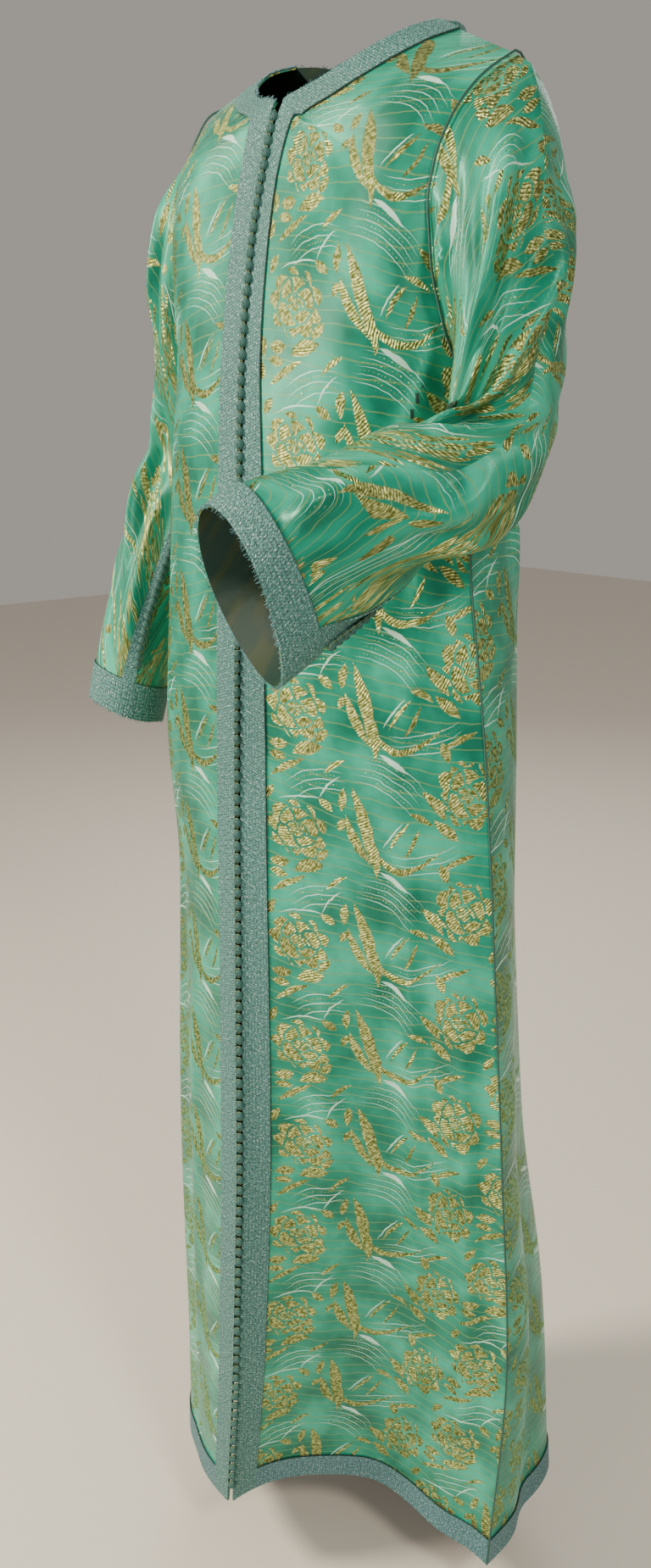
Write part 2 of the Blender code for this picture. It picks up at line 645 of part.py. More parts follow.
def add_braids(cloth, cells):
    low, high = TRIM_LIFT, TRIM_LIFT + BRAID_THICK
    left, right, back = cells["front_left"], cells["front_right"], cells["back"]
    corner = FRONT_COLUMNS - 1
    neck = [line[0] for line in left[:COLLAR_ROWS]] + [line[0] for line in right[:COLLAR_ROWS]]
    neck += back[0][corner : corner + NECK_COLUMNS + 2]
    strips = {
        "neck_braid": neck,
        "front_braid_left": [line[0] for line in left[COLLAR_ROWS:]],
        "front_braid_right": [line[0] for line in right[COLLAR_ROWS:]],
        "hem_braid": left[-1][1:] + back[-1] + right[-1][1:],
    }
    for side in ("left", "right"):
        sleeve = cells["sleeve_" + side]
        strips["cuff_braid_" + side] = sleeve[-1]
        strips["sleeve_seam_braid_" + side] = [line[SEAM_STRIP[side]] for line in sleeve[-8:-1]]
    for name, quads in strips.items():
        add_object(name, "braid", cloth.shell(quads, low, high, 0.0003))


def add_piping(cloth):
    for side, panel in (("left", "front_left"), ("right", "front_right")):
        ids = cloth.grids[panel][ARMHOLE_END:-1, -1]
        add_object("side_piping_" + side, "piping", piping(cloth, ids[1:]))
        ring = cloth.grids["sleeve_" + side][0]
        ring = np.roll(ring, len(ring) - ARMHOLE_END)[1:]
        add_object("armhole_piping_" + side, "piping", piping(cloth, ring))


def add_knots(cloth):
    left = cloth.grids["front_left"][COLLAR_ROWS:, 0]
    right = cloth.grids["front_right"][COLLAR_ROWS:, 0]
    line = (cloth.points[left] + cloth.points[right]) / 2
    normals = unit(cloth.normals[left] + cloth.normals[right])
    reach = along(line, np.linspace(0.006, length(line) - 0.012, 80))
    facing = np.stack(
        [np.interp(reach[:, 2], line[::-1, 2], normals[::-1, k]) for k in range(3)], -1
    )
    solid = knotted_cord(reach, facing, KNOT_COUNT, FIRST_KNOT_STEP, LAST_KNOT_STEP, 0.0022)
    add_object("front_knots", "knots", solid)
    for side in ("left", "right"):
        ids = cloth.grids["sleeve_" + side][-8:-1, SEAM_COLUMN[side]]
        solid = knotted_cord(
            cloth.points[ids], cloth.normals[ids], SLEEVE_KNOTS, 0.0078, 0.0078, 0.0046
        )
        add_object("sleeve_knots_" + side, "knots", solid)


def build():
    for old in list(bpy.data.objects):
        bpy.data.objects.remove(old)
    cloth, cells = build_cloth()
    add_panels(cloth, cells)
    add_braids(cloth, cells)
    add_piping(cloth)
    add_knots(cloth)


build()
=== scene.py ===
import math
import random

import bpy
import numpy as np
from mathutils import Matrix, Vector


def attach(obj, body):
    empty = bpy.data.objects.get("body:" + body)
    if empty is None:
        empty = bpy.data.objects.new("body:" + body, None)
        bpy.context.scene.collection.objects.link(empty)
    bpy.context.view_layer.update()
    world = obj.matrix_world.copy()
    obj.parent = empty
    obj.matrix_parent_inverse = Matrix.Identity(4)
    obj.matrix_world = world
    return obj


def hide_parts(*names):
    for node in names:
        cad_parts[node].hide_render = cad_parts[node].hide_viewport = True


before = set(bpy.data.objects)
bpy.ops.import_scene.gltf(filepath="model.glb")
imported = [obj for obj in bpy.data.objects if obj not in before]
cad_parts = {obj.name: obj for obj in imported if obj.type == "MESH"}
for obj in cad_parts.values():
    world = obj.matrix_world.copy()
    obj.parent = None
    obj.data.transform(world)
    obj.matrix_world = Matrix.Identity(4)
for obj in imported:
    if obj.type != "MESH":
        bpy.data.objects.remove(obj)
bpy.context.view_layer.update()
random.seed(7)

notch, underarm, hemLevel = 4, 7, 13  # rows of the tables that carry those names

detail = {
    "collarRows": 30,
    "armholeRows": 42,
    "skirtRows": 96,
    "bandRows": 5,
    "braidColumns": 5,
    "panelColumns": 40,
    "neckColumns": 32,
    "sleeveRows": 130,
    "sleeveTaper": 0.28,
    "partRings": 18,  # rows of the part's sleeves
    "cloth": 0.0010,
}
trim = {
    "step": 0.004,  # between the points of a piping or a row of knots
    "sideLift": 0.0004,
    "armholeLift": 0.0008,
    "armholeRise": 2.4,  # in radii of the piping, to stay above the creases of the sleeve head
    "edgingStep": 0.005,
    "edgingLift": 0.0010,
    "frontSlot": 0.0062,
    "collarWidth": 0.025,
    "rightBraid": 0.026,
    "leftBraidRows": ((0, 0.025), (3.5, 0.022), (5, 0.0165), (7, 0.018), (9, 0.025), (13, 0.026)),
    "hemBraid": 0.032,
    "cuffBraid": 0.033,
    "lift": 0.0003,
    "thick": 0.0013,
    "edging": 0.0006,
    "piping": 0.0009,
}

# one value per level: shoulder, three down the neckline, notch, chest, bust, underarm,
# waist, hip, thigh, knee, calf, hem; metres in the wearer's frame
frontEdge = {
    "leftX": (0.087, 0.084, 0.068, 0.038, 0.003, 0, 0, 0, 0, 0, 0, -0.002, -0.012, -0.034),
    "rightX": (-0.087, -0.084, -0.068, -0.038, -0.003, 0, 0, 0, 0, 0, 0, -0.002, -0.012, -0.034),
    "y": (-0.004, -0.030, -0.058, -0.080, -0.089, -0.104, -0.117, -0.130, -0.139, -0.149,
          -0.156, -0.163, -0.169, -0.172),
    "z": (0.015, 0.006, -0.010, -0.028, -0.039, -0.085, -0.140, -0.225, -0.345, -0.530,
          -0.700, -0.915, -1.130, -1.352),
}
# front half of the armholes, then the side seams
sideLine = {
    "leftX": (0.172, 0.165, 0.157, 0.151, 0.148, 0.150, 0.157, 0.164, 0.166, 0.182,
               0.191, 0.196, 0.198, 0.181),
    "leftY": (-0.010, -0.036, -0.055, -0.067, -0.070, -0.069, -0.063, -0.047, -0.043, -0.038,
               -0.032, -0.020, -0.008, -0.010),
    "leftZ": (-0.024, -0.042, -0.066, -0.096, -0.124, -0.160, -0.202, -0.255, -0.370, -0.530,
               -0.700, -0.915, -1.130, -1.376),
    "rightX": (-0.172, -0.169, -0.165, -0.161, -0.159, -0.159, -0.161, -0.164, -0.167, -0.181,
                -0.188, -0.192, -0.195, -0.197),
    "rightY": (-0.012, -0.036, -0.052, -0.066, -0.077, -0.081, -0.074, -0.052, -0.046, -0.040,
                -0.036, -0.034, -0.036, -0.042),
    "rightZ": (-0.004, -0.016, -0.035, -0.058, -0.087, -0.128, -0.182, -0.250, -0.370, -0.530,
                -0.700, -0.915, -1.130, -1.376),
}
# back half of the armholes down to the underarm level
backArmhole = {
    "leftX": (0.172, 0.166, 0.160, 0.154, 0.151, 0.151, 0.156, 0.164),
    "leftY": (-0.010, 0.014, 0.036, 0.052, 0.060, 0.058, 0.030, -0.047),
    "leftZ": (-0.024, -0.038, -0.058, -0.086, -0.116, -0.160, -0.215, -0.255),
    "rightX": (-0.172, -0.168, -0.163, -0.157, -0.153, -0.152, -0.156, -0.164),
    "rightY": (-0.012, 0.012, 0.034, 0.050, 0.058, 0.056, 0.028, -0.052),
    "rightZ": (-0.004, -0.016, -0.038, -0.070, -0.104, -0.150, -0.208, -0.250),
}
# centre back
centreBack = {
    "y": (0.060, 0.070, 0.078, 0.083, 0.086, 0.090, 0.093, 0.092, 0.086, 0.092,
          0.098, 0.110, 0.132, 0.158),
    "z": (0.014, -0.014, -0.040, -0.068, -0.096, -0.142, -0.190, -0.255, -0.370, -0.530,
          -0.700, -0.915, -1.130, -1.378),
}
# how each panel leaves one edge and meets the other: plan angles in degrees from the
# sideways direction towards the back, and handle lengths as shares of the panel's width
leftFront = {
    "edgeTurn": (0, -4, -8, -8, -8, -6, -3, 2, 12, 20, 30, 50, 68, 90),
    "edgePull": (0.33, 0.34, 0.36, 0.38, 0.40, 0.40, 0.40, 0.40, 0.38, 0.36, 0.34, 0.33, 0.35, 0.37),
    "sideTurn": (0, 15, 30, 40, 48, 52, 56, 58, 54, 54, 42, 25, 12, 5),
    "sidePull": (0.33, 0.33, 0.33, 0.34, 0.36, 0.38, 0.41, 0.42, 0.35, 0.34, 0.32, 0.30, 0.35, 0.42),
    "arch": (0, 0, 0, 0, 0, 0, 0, 0, 0, 0, 0, 0, 0.004, 0.015),
}
rightFront = {
    "edgeTurn": (0, -4, -8, -8, -8, -6, -3, -1, -1, -1, 0, 0, 1, 2),
    "edgePull": (0.33, 0.34, 0.36, 0.38, 0.40, 0.42, 0.46, 0.52, 0.54, 0.54, 0.43, 0.47, 0.48, 0.50),
    "sideTurn": (0, 15, 30, 40, 48, 54, 60, 68, 80, 84, 86, 88, 88, 88),
    "sidePull": (0.33, 0.33, 0.33, 0.34, 0.36, 0.40, 0.45, 0.52, 0.54, 0.54, 0.43, 0.47, 0.48, 0.50),
    "arch": (0, 0, 0, 0, 0, 0, 0, 0, 0, 0, 0, 0, 0, 0),
}
backCurve = {
    "sideTurn": (35, 45, 55, 60, 64, 68, 72, 76, 82, 78, 75, 75, 84, 86),
    "sidePull": (0.33, 0.33, 0.34, 0.35, 0.36, 0.36, 0.36, 0.40, 0.40, 0.30, 0.27, 0.25, 0.30, 0.34),
    "spinePull": (0.33, 0.36, 0.40, 0.44, 0.48, 0.52, 0.54, 0.58, 0.62, 0.56, 0.50, 0.50, 0.60, 0.64),
}

# back neckline from the neck point to the centre back
backNeck = {
    "x": (0.087, 0.083, 0.068, 0.038, 0.0),
    "y": (-0.004, 0.020, 0.041, 0.055, 0.060),
    "z": (0.015, 0.018, 0.017, 0.015, 0.014),
}

# soft vertical folds of the skirt and back: where each lies across its panel at its top
# and at the hem, the drop where it starts and reaches full depth, depth outwards, width
foldHeads = ("panel", "top", "hem", "start", "full", "depth", "width")
panelFolds = (
    ("frontLeft", 0.62, 0.52, 0.45, 1.00, -0.008, 0.13),
    ("frontLeft", 0.86, 0.80, 0.60, 1.20, 0.006, 0.10),
    ("frontRight", 0.45, 0.38, 0.60, 1.25, -0.005, 0.14),
    ("frontRight", 0.75, 0.72, 0.55, 1.15, 0.007, 0.12),
    ("back", 0.16, 0.14, 0.55, 1.20, -0.010, 0.050),
    ("back", 0.28, 0.27, 0.40, 1.10, 0.012, 0.055),
    ("back", 0.40, 0.41, 0.40, 1.20, -0.013, 0.055),
    ("back", 0.52, 0.54, 0.45, 1.15, 0.011, 0.060),
    ("back", 0.66, 0.66, 0.40, 1.20, -0.012, 0.055),
    ("back", 0.79, 0.80, 0.50, 1.10, 0.010, 0.055),
)

# sleeves: one row for each ring after the armhole, by its point on the shoulder line, its
# point on the seam, the way along the arm that it faces, and its half width. The left
# seam winds from the underarm to the lower edge of the raised forearm.
leftSleeve = {
    "outerX": (0.190, 0.207, 0.220, 0.229, 0.234, 0.236, 0.232, 0.222, 0.191, 0.155, 0.116, 0.102),
    "outerY": (-0.014, -0.022, -0.030, -0.038, -0.045, -0.051, -0.073, -0.124, -0.160, -0.195,
                -0.224, -0.241),
    "outerZ": (-0.034, -0.062, -0.105, -0.155, -0.205, -0.248, -0.282, -0.304, -0.300, -0.302,
                -0.314, -0.329),
    "underX": (0.171, 0.174, 0.176, 0.177, 0.178, 0.178, 0.172, 0.154, 0.147, 0.149, 0.157, 0.151),
    "underY": (-0.047, -0.047, -0.048, -0.050, -0.054, -0.060, -0.072, -0.078, -0.100, -0.136,
                -0.188, -0.217),
    "underZ": (-0.262, -0.270, -0.277, -0.284, -0.293, -0.303, -0.318, -0.332, -0.366, -0.405,
                -0.432, -0.451),
    "aimX": (1.00, 0.90, 0.80, 0.70, 0.55, 0.40, 0.40, -0.30, -0.40, -0.40, -0.25, -0.15),
    "aimY": (0.00, 0.00, 0.00, -0.05, -0.12, -0.25, -0.60, -0.80, -0.80, -0.82, -0.93, -0.95),
    "aimZ": (-0.15, -0.40, -0.60, -0.75, -0.88, -0.90, -0.68, -0.52, -0.45, -0.42, -0.33, -0.30),
    "wide": (0.052, 0.050, 0.048, 0.049, 0.049, 0.047, 0.052, 0.060, 0.058, 0.052, 0.050, 0.051),
}
rightSleeve = {
    "outerX": (-0.188, -0.203, -0.211, -0.214, -0.217, -0.226, -0.241, -0.250, -0.254, -0.255,
                -0.255),
    "outerY": (-0.014, -0.020, -0.022, -0.018, -0.012, -0.014, -0.034, -0.062, -0.087, -0.101,
                -0.109),
    "outerZ": (-0.016, -0.045, -0.090, -0.145, -0.205, -0.262, -0.335, -0.405, -0.470, -0.509,
                -0.540),
    "underX": (-0.174, -0.179, -0.181, -0.182, -0.182, -0.184, -0.188, -0.193, -0.197, -0.198,
                -0.198),
    "underY": (-0.052, -0.049, -0.045, -0.041, -0.040, -0.048, -0.070, -0.095, -0.118, -0.131,
                -0.141),
    "underZ": (-0.257, -0.265, -0.274, -0.284, -0.298, -0.320, -0.354, -0.412, -0.472, -0.514,
                -0.547),
    "aimX": (-1.00, -0.95, -0.80, -0.55, -0.35, -0.20, -0.15, -0.15, -0.15, -0.15, -0.15),
    "aimY": (0.00, 0.00, 0.00, 0.00, 0.00, -0.05, -0.25, -0.33, -0.34, -0.34, -0.34),
    "aimZ": (-0.15, -0.35, -0.60, -0.85, -0.95, -1.00, -0.95, -0.93, -0.93, -0.93, -0.93),
    "wide": (0.054, 0.055, 0.055, 0.053, 0.051, 0.050, 0.049, 0.047, 0.045, 0.043, 0.042),
}

# folds of the sleeves: where each starts and ends along the sleeve and round it (0 is
# the shoulder line, 0.25 the front, 0.5 the seam), depth outwards and width round it
sleeveFoldHeads = ("sleeve", "fromAlong", "fromRound", "toAlong", "toRound", "depth", "width")
sleeveFolds = (
    ("left", 0.14, 0.08, 0.30, 0.20, 0.005, 0.045),
    ("left", 0.22, 0.92, 0.38, 1.08, 0.006, 0.045),
    ("left", 0.20, 1.00, 0.36, 1.16, -0.004, 0.040),
    ("left", 0.52, 0.84, 0.74, 0.76, -0.004, 0.055),
    ("left", 0.70, 0.95, 0.92, 0.82, 0.003, 0.050),
    ("left", 0.16, 0.74, 0.40, 0.80, 0.006, 0.050),
    ("right", 0.10, 0.14, 0.40, 0.24, 0.006, 0.045),
    ("right", 0.18, 0.04, 0.55, 0.20, -0.006, 0.045),
    ("right", 0.45, 0.30, 0.80, 0.16, 0.005, 0.045),
    ("right", 0.20, 0.74, 0.55, 0.86, 0.006, 0.050),
    ("right", 0.50, 0.66, 0.85, 0.84, -0.006, 0.050),
)

# finer creases, only here: share across the panel and drop below the shoulder
creaseHeads = ("panel", "fromShare", "fromDrop", "toShare", "toDrop", "depth", "width")
panelCreases = (
    ("frontLeft", 0.97, 0.19, 0.60, 0.34, 0.0042, 0.032),
    ("frontLeft", 0.98, 0.24, 0.70, 0.46, 0.0040, 0.028),
    ("frontLeft", 0.96, 0.30, 0.55, 0.62, 0.0030, 0.035),
    ("frontLeft", 0.34, 0.60, 0.28, 1.36, 0.0030, 0.050),
    ("frontLeft", 0.68, 0.52, 0.64, 1.22, 0.0036, 0.040),
    ("frontLeft", 0.88, 0.70, 0.84, 1.38, 0.0030, 0.035),
    ("frontRight", 0.96, 0.20, 0.62, 0.38, 0.0042, 0.032),
    ("frontRight", 0.60, 0.52, 0.56, 1.28, 0.0034, 0.050),
    ("frontRight", 0.34, 0.70, 0.36, 1.34, 0.0028, 0.040),
    ("back", 0.06, 0.20, 0.22, 0.44, 0.0042, 0.022),
    ("back", 0.94, 0.20, 0.79, 0.42, 0.0040, 0.022),
    ("back", 0.46, 0.28, 0.50, 0.64, 0.0026, 0.024),
    ("back", 0.34, 0.52, 0.33, 1.28, 0.0040, 0.020),
    ("back", 0.60, 0.56, 0.61, 1.32, 0.0040, 0.020),
    ("back", 0.88, 0.58, 0.87, 1.28, 0.0034, 0.022),
)
sleeveCreases = (
    ("left", 0.04, 0.18, 0.12, 0.30, 0.0095, 0.033),
    ("left", 0.12, 0.07, 0.36, 0.22, 0.0115, 0.030),
    ("left", 0.22, -0.06, 0.54, 0.20, 0.0120, 0.028),
    ("left", 0.25, -0.05, 0.46, 0.07, 0.0085, 0.024),
    ("left", 0.30, 0.12, 0.50, 0.28, 0.0070, 0.027),
    ("left", 0.43, -0.06, 0.57, 0.14, 0.0080, 0.033),
    ("left", 0.10, 0.84, 0.34, 0.92, 0.0075, 0.036),
    ("left", 0.28, 0.68, 0.46, 0.80, 0.0070, 0.033),
    ("left", 0.50, 0.80, 0.74, 0.75, 0.0058, 0.036),
    ("left", 0.54, 0.97, 0.72, 0.84, 0.0055, 0.030),
    ("left", 0.72, 0.97, 0.93, 0.81, 0.0055, 0.033),
    ("left", 0.66, 0.60, 0.95, 0.66, 0.0045, 0.036),
    ("right", 0.06, 0.14, 0.20, 0.26, 0.0080, 0.033),
    ("right", 0.28, 0.25, 0.72, 0.28, 0.0085, 0.033),
    ("right", 0.52, 0.37, 0.92, 0.42, 0.0065, 0.033),
    ("right", 0.12, 0.02, 0.46, 0.12, 0.0080, 0.030),
    ("right", 0.12, 0.76, 0.48, 0.70, 0.0080, 0.033),
    ("right", 0.44, 0.88, 0.86, 0.93, 0.0070, 0.033),
)


def smooth(values, level):
    values = np.asarray(values, float)
    level = np.clip(np.asarray(level, float), 0, len(values) - 1)
    steps = np.diff(values)
    before, after = steps[:-1], steps[1:]
    both = before * after > 0
    middle = np.where(both, 2 * before * after / np.where(both, before + after, 1), 0)
    slopes = np.concatenate([[steps[0]], middle, [steps[-1]]])
    low = np.minimum(level.astype(int), len(values) - 2)
    t = level - low
    return (
        values[low] * (1 + 2 * t) * (1 - t) ** 2
        + slopes[low] * t * (1 - t) ** 2
        + values[low + 1] * t**2 * (3 - 2 * t)
        - slopes[low + 1] * t**2 * (1 - t)
    )


def fromTable(table, columns, level):
    return np.stack([smooth(table[column], level) for column in columns], -1)


def bezier(start, startHandle, endHandle, end, samples=61):
    t = np.linspace(0, 1, samples)[:, None]
    return (
        start * (1 - t) ** 3
        + startHandle * 3 * t * (1 - t) ** 2
        + endHandle * 3 * t**2 * (1 - t)
        + end * t**3
    )


def reachOf(line):  # the way covered from the start to each point
    return np.concatenate([[0], np.cumsum(np.linalg.norm(np.diff(line, axis=0), axis=1))])


def atMarks(marks, reach, values):
    return np.stack([np.interp(marks, reach, values[:, k]) for k in range(3)], -1)


def along(line, distances):
    return atMarks(distances, reachOf(line), line)


def length(line):
    return np.linalg.norm(np.diff(line, axis=0), axis=1).sum()


def bump(x):
    return np.exp(-x * x)


def pinch(x):  # a narrow ridge with a shallow trough on each side
    return np.exp(-x * x) - 0.42 * np.exp(-((np.abs(x) - 1.7) ** 2))


def ramp(x):
    x = np.clip(x, 0, 1)
    return x * x * (3 - 2 * x)


def rowLevels():
    top = np.linspace(0, notch, detail["collarRows"] + 1)
    middle = np.linspace(notch, underarm, detail["armholeRows"] + 1)[1:]
    fine = np.linspace(underarm, hemLevel, 400)
    drop = -smooth(sideLine["leftZ"], fine)
    marks = np.linspace(drop[0], drop[-1] - trim["hemBraid"], detail["skirtRows"])[1:]
    below = np.interp(marks, drop, fine)
    band = np.linspace(below[-1], hemLevel, detail["bandRows"] + 1)[1:]
    return np.concatenate([top, middle, below, band])


def plan(angle, side):
    return np.array([side * math.cos(math.radians(angle)), math.sin(math.radians(angle)), 0])


def frontRow(name, level):
    left = name == "frontLeft"
    shape = leftFront if left else rightFront
    which = "left" if left else "right"
    outward = 1 if left else -1
    edge = fromTable(frontEdge, (which + "X", "y", "z"), level)
    side = fromTable(sideLine, (which + "X", which + "Y", which + "Z"), level)
    leave, leavePull, meet, meetPull = (
        smooth(shape[column], level) for column in ("edgeTurn", "edgePull", "sideTurn", "sidePull")
    )
    wide = np.linalg.norm((side - edge)[:2])
    fall = np.array([0, 0, side[2] - edge[2]])
    arch = np.array([0, 0, smooth(shape["arch"], level)])
    first = edge + leavePull * wide * plan(leave, outward) + leavePull * fall + arch
    second = side - meetPull * wide * plan(meet, outward) - meetPull * fall + arch
    return bezier(edge, first, second, side)


def braidWidth(name, level):
    if level < notch:
        corner = bump((level - notch) / 0.7)
        return trim["collarWidth"] * (1 + 0.25 * corner)
    if name == "frontRight":
        return trim["rightBraid"]
    rows = np.array(trim["leftBraidRows"])
    return float(np.interp(level, rows[:, 0], rows[:, 1]))


def frontGrid(name):
    rows = []
    for level in levels:
        line = frontRow(name, level)
        start = trim["frontSlot"] / 2 if level >= notch else 0
        inner = start + braidWidth(name, level)
        band = np.linspace(start, inner, detail["braidColumns"] + 1)
        rest = np.linspace(inner, length(line), detail["panelColumns"] + 1)[1:]
        rows.append(along(line, np.concatenate([band, rest])))
    return folded(name, np.array(rows))


def backHalfRow(side, level, sidePoint):
    spine = np.array([0, smooth(centreBack["y"], level), smooth(centreBack["z"], level)])
    turn, sidePull, spinePull = (smooth(backCurve[column], level) for column in backCurve)
    wide = np.linalg.norm((spine - sidePoint)[:2])
    fall = np.array([0, 0, spine[2] - sidePoint[2]])
    first = sidePoint + sidePull * wide * plan(turn, -side) + sidePull * fall
    second = spine + np.array([side * spinePull * wide, 0, 0]) - spinePull * fall
    return bezier(sidePoint, first, second, spine)


def backSidePoint(side, level):
    which = "left" if side > 0 else "right"
    table = backArmhole if level <= underarm else sideLine
    return fromTable(table, (which + "X", which + "Y", which + "Z"), level)


def backGrid(fronts):
    perHalf = detail["braidColumns"] + detail["panelColumns"] + detail["neckColumns"] // 2
    neckLevels = np.linspace(0, len(backNeck["x"]) - 1, detail["neckColumns"] // 2 + 1)
    rows = []
    for level in levels:
        halves = []
        for side, front in ((1, fronts[0]), (-1, fronts[1])):
            neck = fromTable(backNeck, ("x", "y", "z"), neckLevels)
            neck[:, 0] *= side
            top = np.concatenate([front[0, ::-1], neck[1:]])
            line = backHalfRow(side, level, backSidePoint(side, level))
            first = backHalfRow(side, 0, backSidePoint(side, 0))
            reach = reachOf(top)
            share = reach / reach[-1]
            even = np.linspace(0, 1, perHalf + 1)
            pull = 1 - ramp(level / (underarm + 1))
            spread = even + (share - even) * pull
            shift = (top - along(first, share * length(first))) * (1 - ramp(level / 3.2))[..., None]
            halves.append(along(line, spread * length(line)) + shift)
        rows.append(np.concatenate([halves[0], halves[1][-2::-1]]))
    return folded("back", np.array(rows))


def gridNormals(grid, outward):
    across = np.gradient(grid, axis=1)
    down = np.gradient(grid, axis=0)
    normal = np.cross(down, across) * outward
    return normal / np.linalg.norm(normal, axis=-1, keepdims=True)


def folded(name, grid):
    normal = gridNormals(grid, -1 if name == "frontRight" else 1)
    share = np.linspace(0, 1, grid.shape[1])
    if name != "back":
        band = np.linspace(0, 0.1, detail["braidColumns"] + 1)
        share = np.concatenate([band, np.linspace(0.1, 1, detail["panelColumns"] + 1)[1:]])
    share = share[None, :]
    drop = -grid[..., 2]
    edges = ramp(share / 0.12) * ramp((1 - share) / 0.12)
    depth = np.zeros(grid.shape[:2])
    for row in panelFolds:
        fold = dict(zip(foldHeads, row))
        if fold["panel"] != name:
            continue
        grown = ramp((drop - fold["start"]) / (fold["full"] - fold["start"]))
        run = np.clip((drop - fold["start"]) / (-sideLine["leftZ"][-1] - fold["start"]), 0, 1)
        place = fold["top"] + (fold["hem"] - fold["top"]) * run
        depth += fold["depth"] * grown * bump((share - place) / fold["width"])
    for row in panelCreases:
        crease = dict(zip(creaseHeads, row))
        if crease["panel"] == name:
            run = (drop - crease["fromDrop"]) / (crease["toDrop"] - crease["fromDrop"])
            place = crease["fromShare"] + (crease["toShare"] - crease["fromShare"]) * np.clip(run, 0, 1)
            grown = ramp(run / 0.3) * ramp((1 - run) / 0.4)
            depth += crease["depth"] * grown * pinch((share - place) / crease["width"])
    return grid + normal * (depth * edges)[..., None]


def unit(vectors):
    return vectors / np.linalg.norm(vectors, axis=-1, keepdims=True)


def sleeveGrid(side, front, back):
    armhole = np.concatenate([front[: armholeEnd + 1, -1], back[armholeEnd - 1 : 0 : -1, 0]])
    count = len(armhole)
    table = leftSleeve if side > 0 else rightSleeve
    outerColumns = ("outerX", "outerY", "outerZ")
    underColumns = ("underX", "underY", "underZ")
    fine = np.linspace(0, len(table["wide"]) - 1, 200)
    middle = (fromTable(table, outerColumns, fine) + fromTable(table, underColumns, fine)) / 2
    reach = reachOf(middle)
    cuff = reach[-1] - trim["cuffBraid"]
    marks = np.linspace(0, cuff, detail["sleeveRows"])
    marks = np.append(marks, np.linspace(cuff, reach[-1], detail["bandRows"] + 1)[1:])
    ringLevels = np.interp(marks, reach, fine)
    angle = 2 * math.pi * np.arange(count) / count

    def oval(outer, under, level):
        aim = fromTable(table, ("aimX", "aimY", "aimZ"), level)
        front = unit(np.cross(aim, outer - under)) * side
        narrow = 1 - detail["sleeveTaper"] * ramp((level - 3) / 4) * (1 - np.cos(angle)) / 2
        swing = smooth(table["wide"], level) * np.sin(angle) * narrow
        middle = (outer + under) / 2
        return middle + (outer - middle) * np.cos(angle)[:, None] + front * swing[:, None]

    cap = armhole - oval(armhole[0], armhole[armholeEnd], 0)
    rings = [armhole]
    for level in ringLevels:
        outer = fromTable(table, outerColumns, level)
        under = fromTable(table, underColumns, level)
        rings.append(oval(outer, under, level) + cap * (1 - ramp((level + 1) / 4.5)))
    grid = np.array(rings)
    return foldedSleeve("left" if side > 0 else "right", grid)


def foldedSleeve(name, grid):
    count = grid.shape[1]
    ends = np.concatenate([grid[:, -1:], grid, grid[:, :1]], 1)
    alongWay = np.gradient(grid, axis=0)
    roundWay = (ends[:, 2:] - ends[:, :-2]) / 2
    normal = unit(np.cross(roundWay, alongWay)) * (1 if name == "left" else -1)
    rings = detail["partRings"]
    body = np.linspace(1, rings - 1, detail["sleeveRows"]) / rings
    band = np.linspace(rings - 1, rings, detail["bandRows"] + 1)[1:] / rings
    share = np.concatenate([[0], body, band])[:, None]
    roundShare = (np.arange(count) / count)[None, :]
    depth = np.zeros(grid.shape[:2])
    for row in sleeveFolds:
        fold = dict(zip(sleeveFoldHeads, row))
        if fold["sleeve"] != name:
            continue
        run = (share - fold["fromAlong"]) / (fold["toAlong"] - fold["fromAlong"])
        place = fold["fromRound"] + (fold["toRound"] - fold["fromRound"]) * np.clip(run, 0, 1)
        away = (roundShare - place + 0.5) % 1 - 0.5
        grown = ramp((run + 0.2) / 0.5) * ramp((1.2 - run) / 0.5)
        depth += fold["depth"] * grown * bump(away / fold["width"])
    for row in sleeveCreases:
        crease = dict(zip(sleeveFoldHeads, row))
        if crease["sleeve"] == name:
            run = (share - crease["fromAlong"]) / (crease["toAlong"] - crease["fromAlong"])
            turn = crease["toRound"] - crease["fromRound"]
            away = (roundShare - crease["fromRound"] - turn * np.clip(run, 0, 1) + 0.5) % 1 - 0.5
            grown = ramp((run + 0.1) / 0.4) * ramp((1.1 - run) / 0.45)
            depth += crease["depth"] * grown * pinch(away / crease["width"])
    fade = ramp(share / 0.1) * ramp((1 - share) / 0.1)
    return grid + normal * (depth * fade)[..., None]


# shells and strips from grids of points

def surfaceUv(grid, closed=False, start=0):
    ring = np.concatenate([grid, grid[:, :1]], 1) if closed else grid
    across = np.linalg.norm(np.diff(ring, axis=1), axis=-1)
    u = np.concatenate([np.zeros((len(grid), 1)), np.cumsum(across, 1)], 1)
    down = np.linalg.norm(np.diff(ring, axis=0), axis=-1)
    v = np.concatenate([np.zeros((1, ring.shape[1])), np.cumsum(down, 0)], 0)
    return np.stack([u, v[start] - v], -1)


def makeMesh(name, data, materials):
    vertices, faces, uvs, slots = data
    mesh = bpy.data.meshes.new(name)
    mesh.from_pydata([tuple(map(float, v)) for v in vertices], [], [tuple(int(i) for i in f) for f in faces])
    for finish in materials:
        mesh.materials.append(finish)
    layer = mesh.uv_layers.new(name="UVMap")
    layer.data.foreach_set("uv", np.asarray(uvs, float).ravel())
    mesh.polygons.foreach_set("material_index", slots)
    mesh.shade_smooth()
    mesh.set_sharp_from_angle(angle=math.radians(55))
    made = bpy.data.objects.new(name, mesh)
    bpy.context.scene.collection.objects.link(made)
    return made


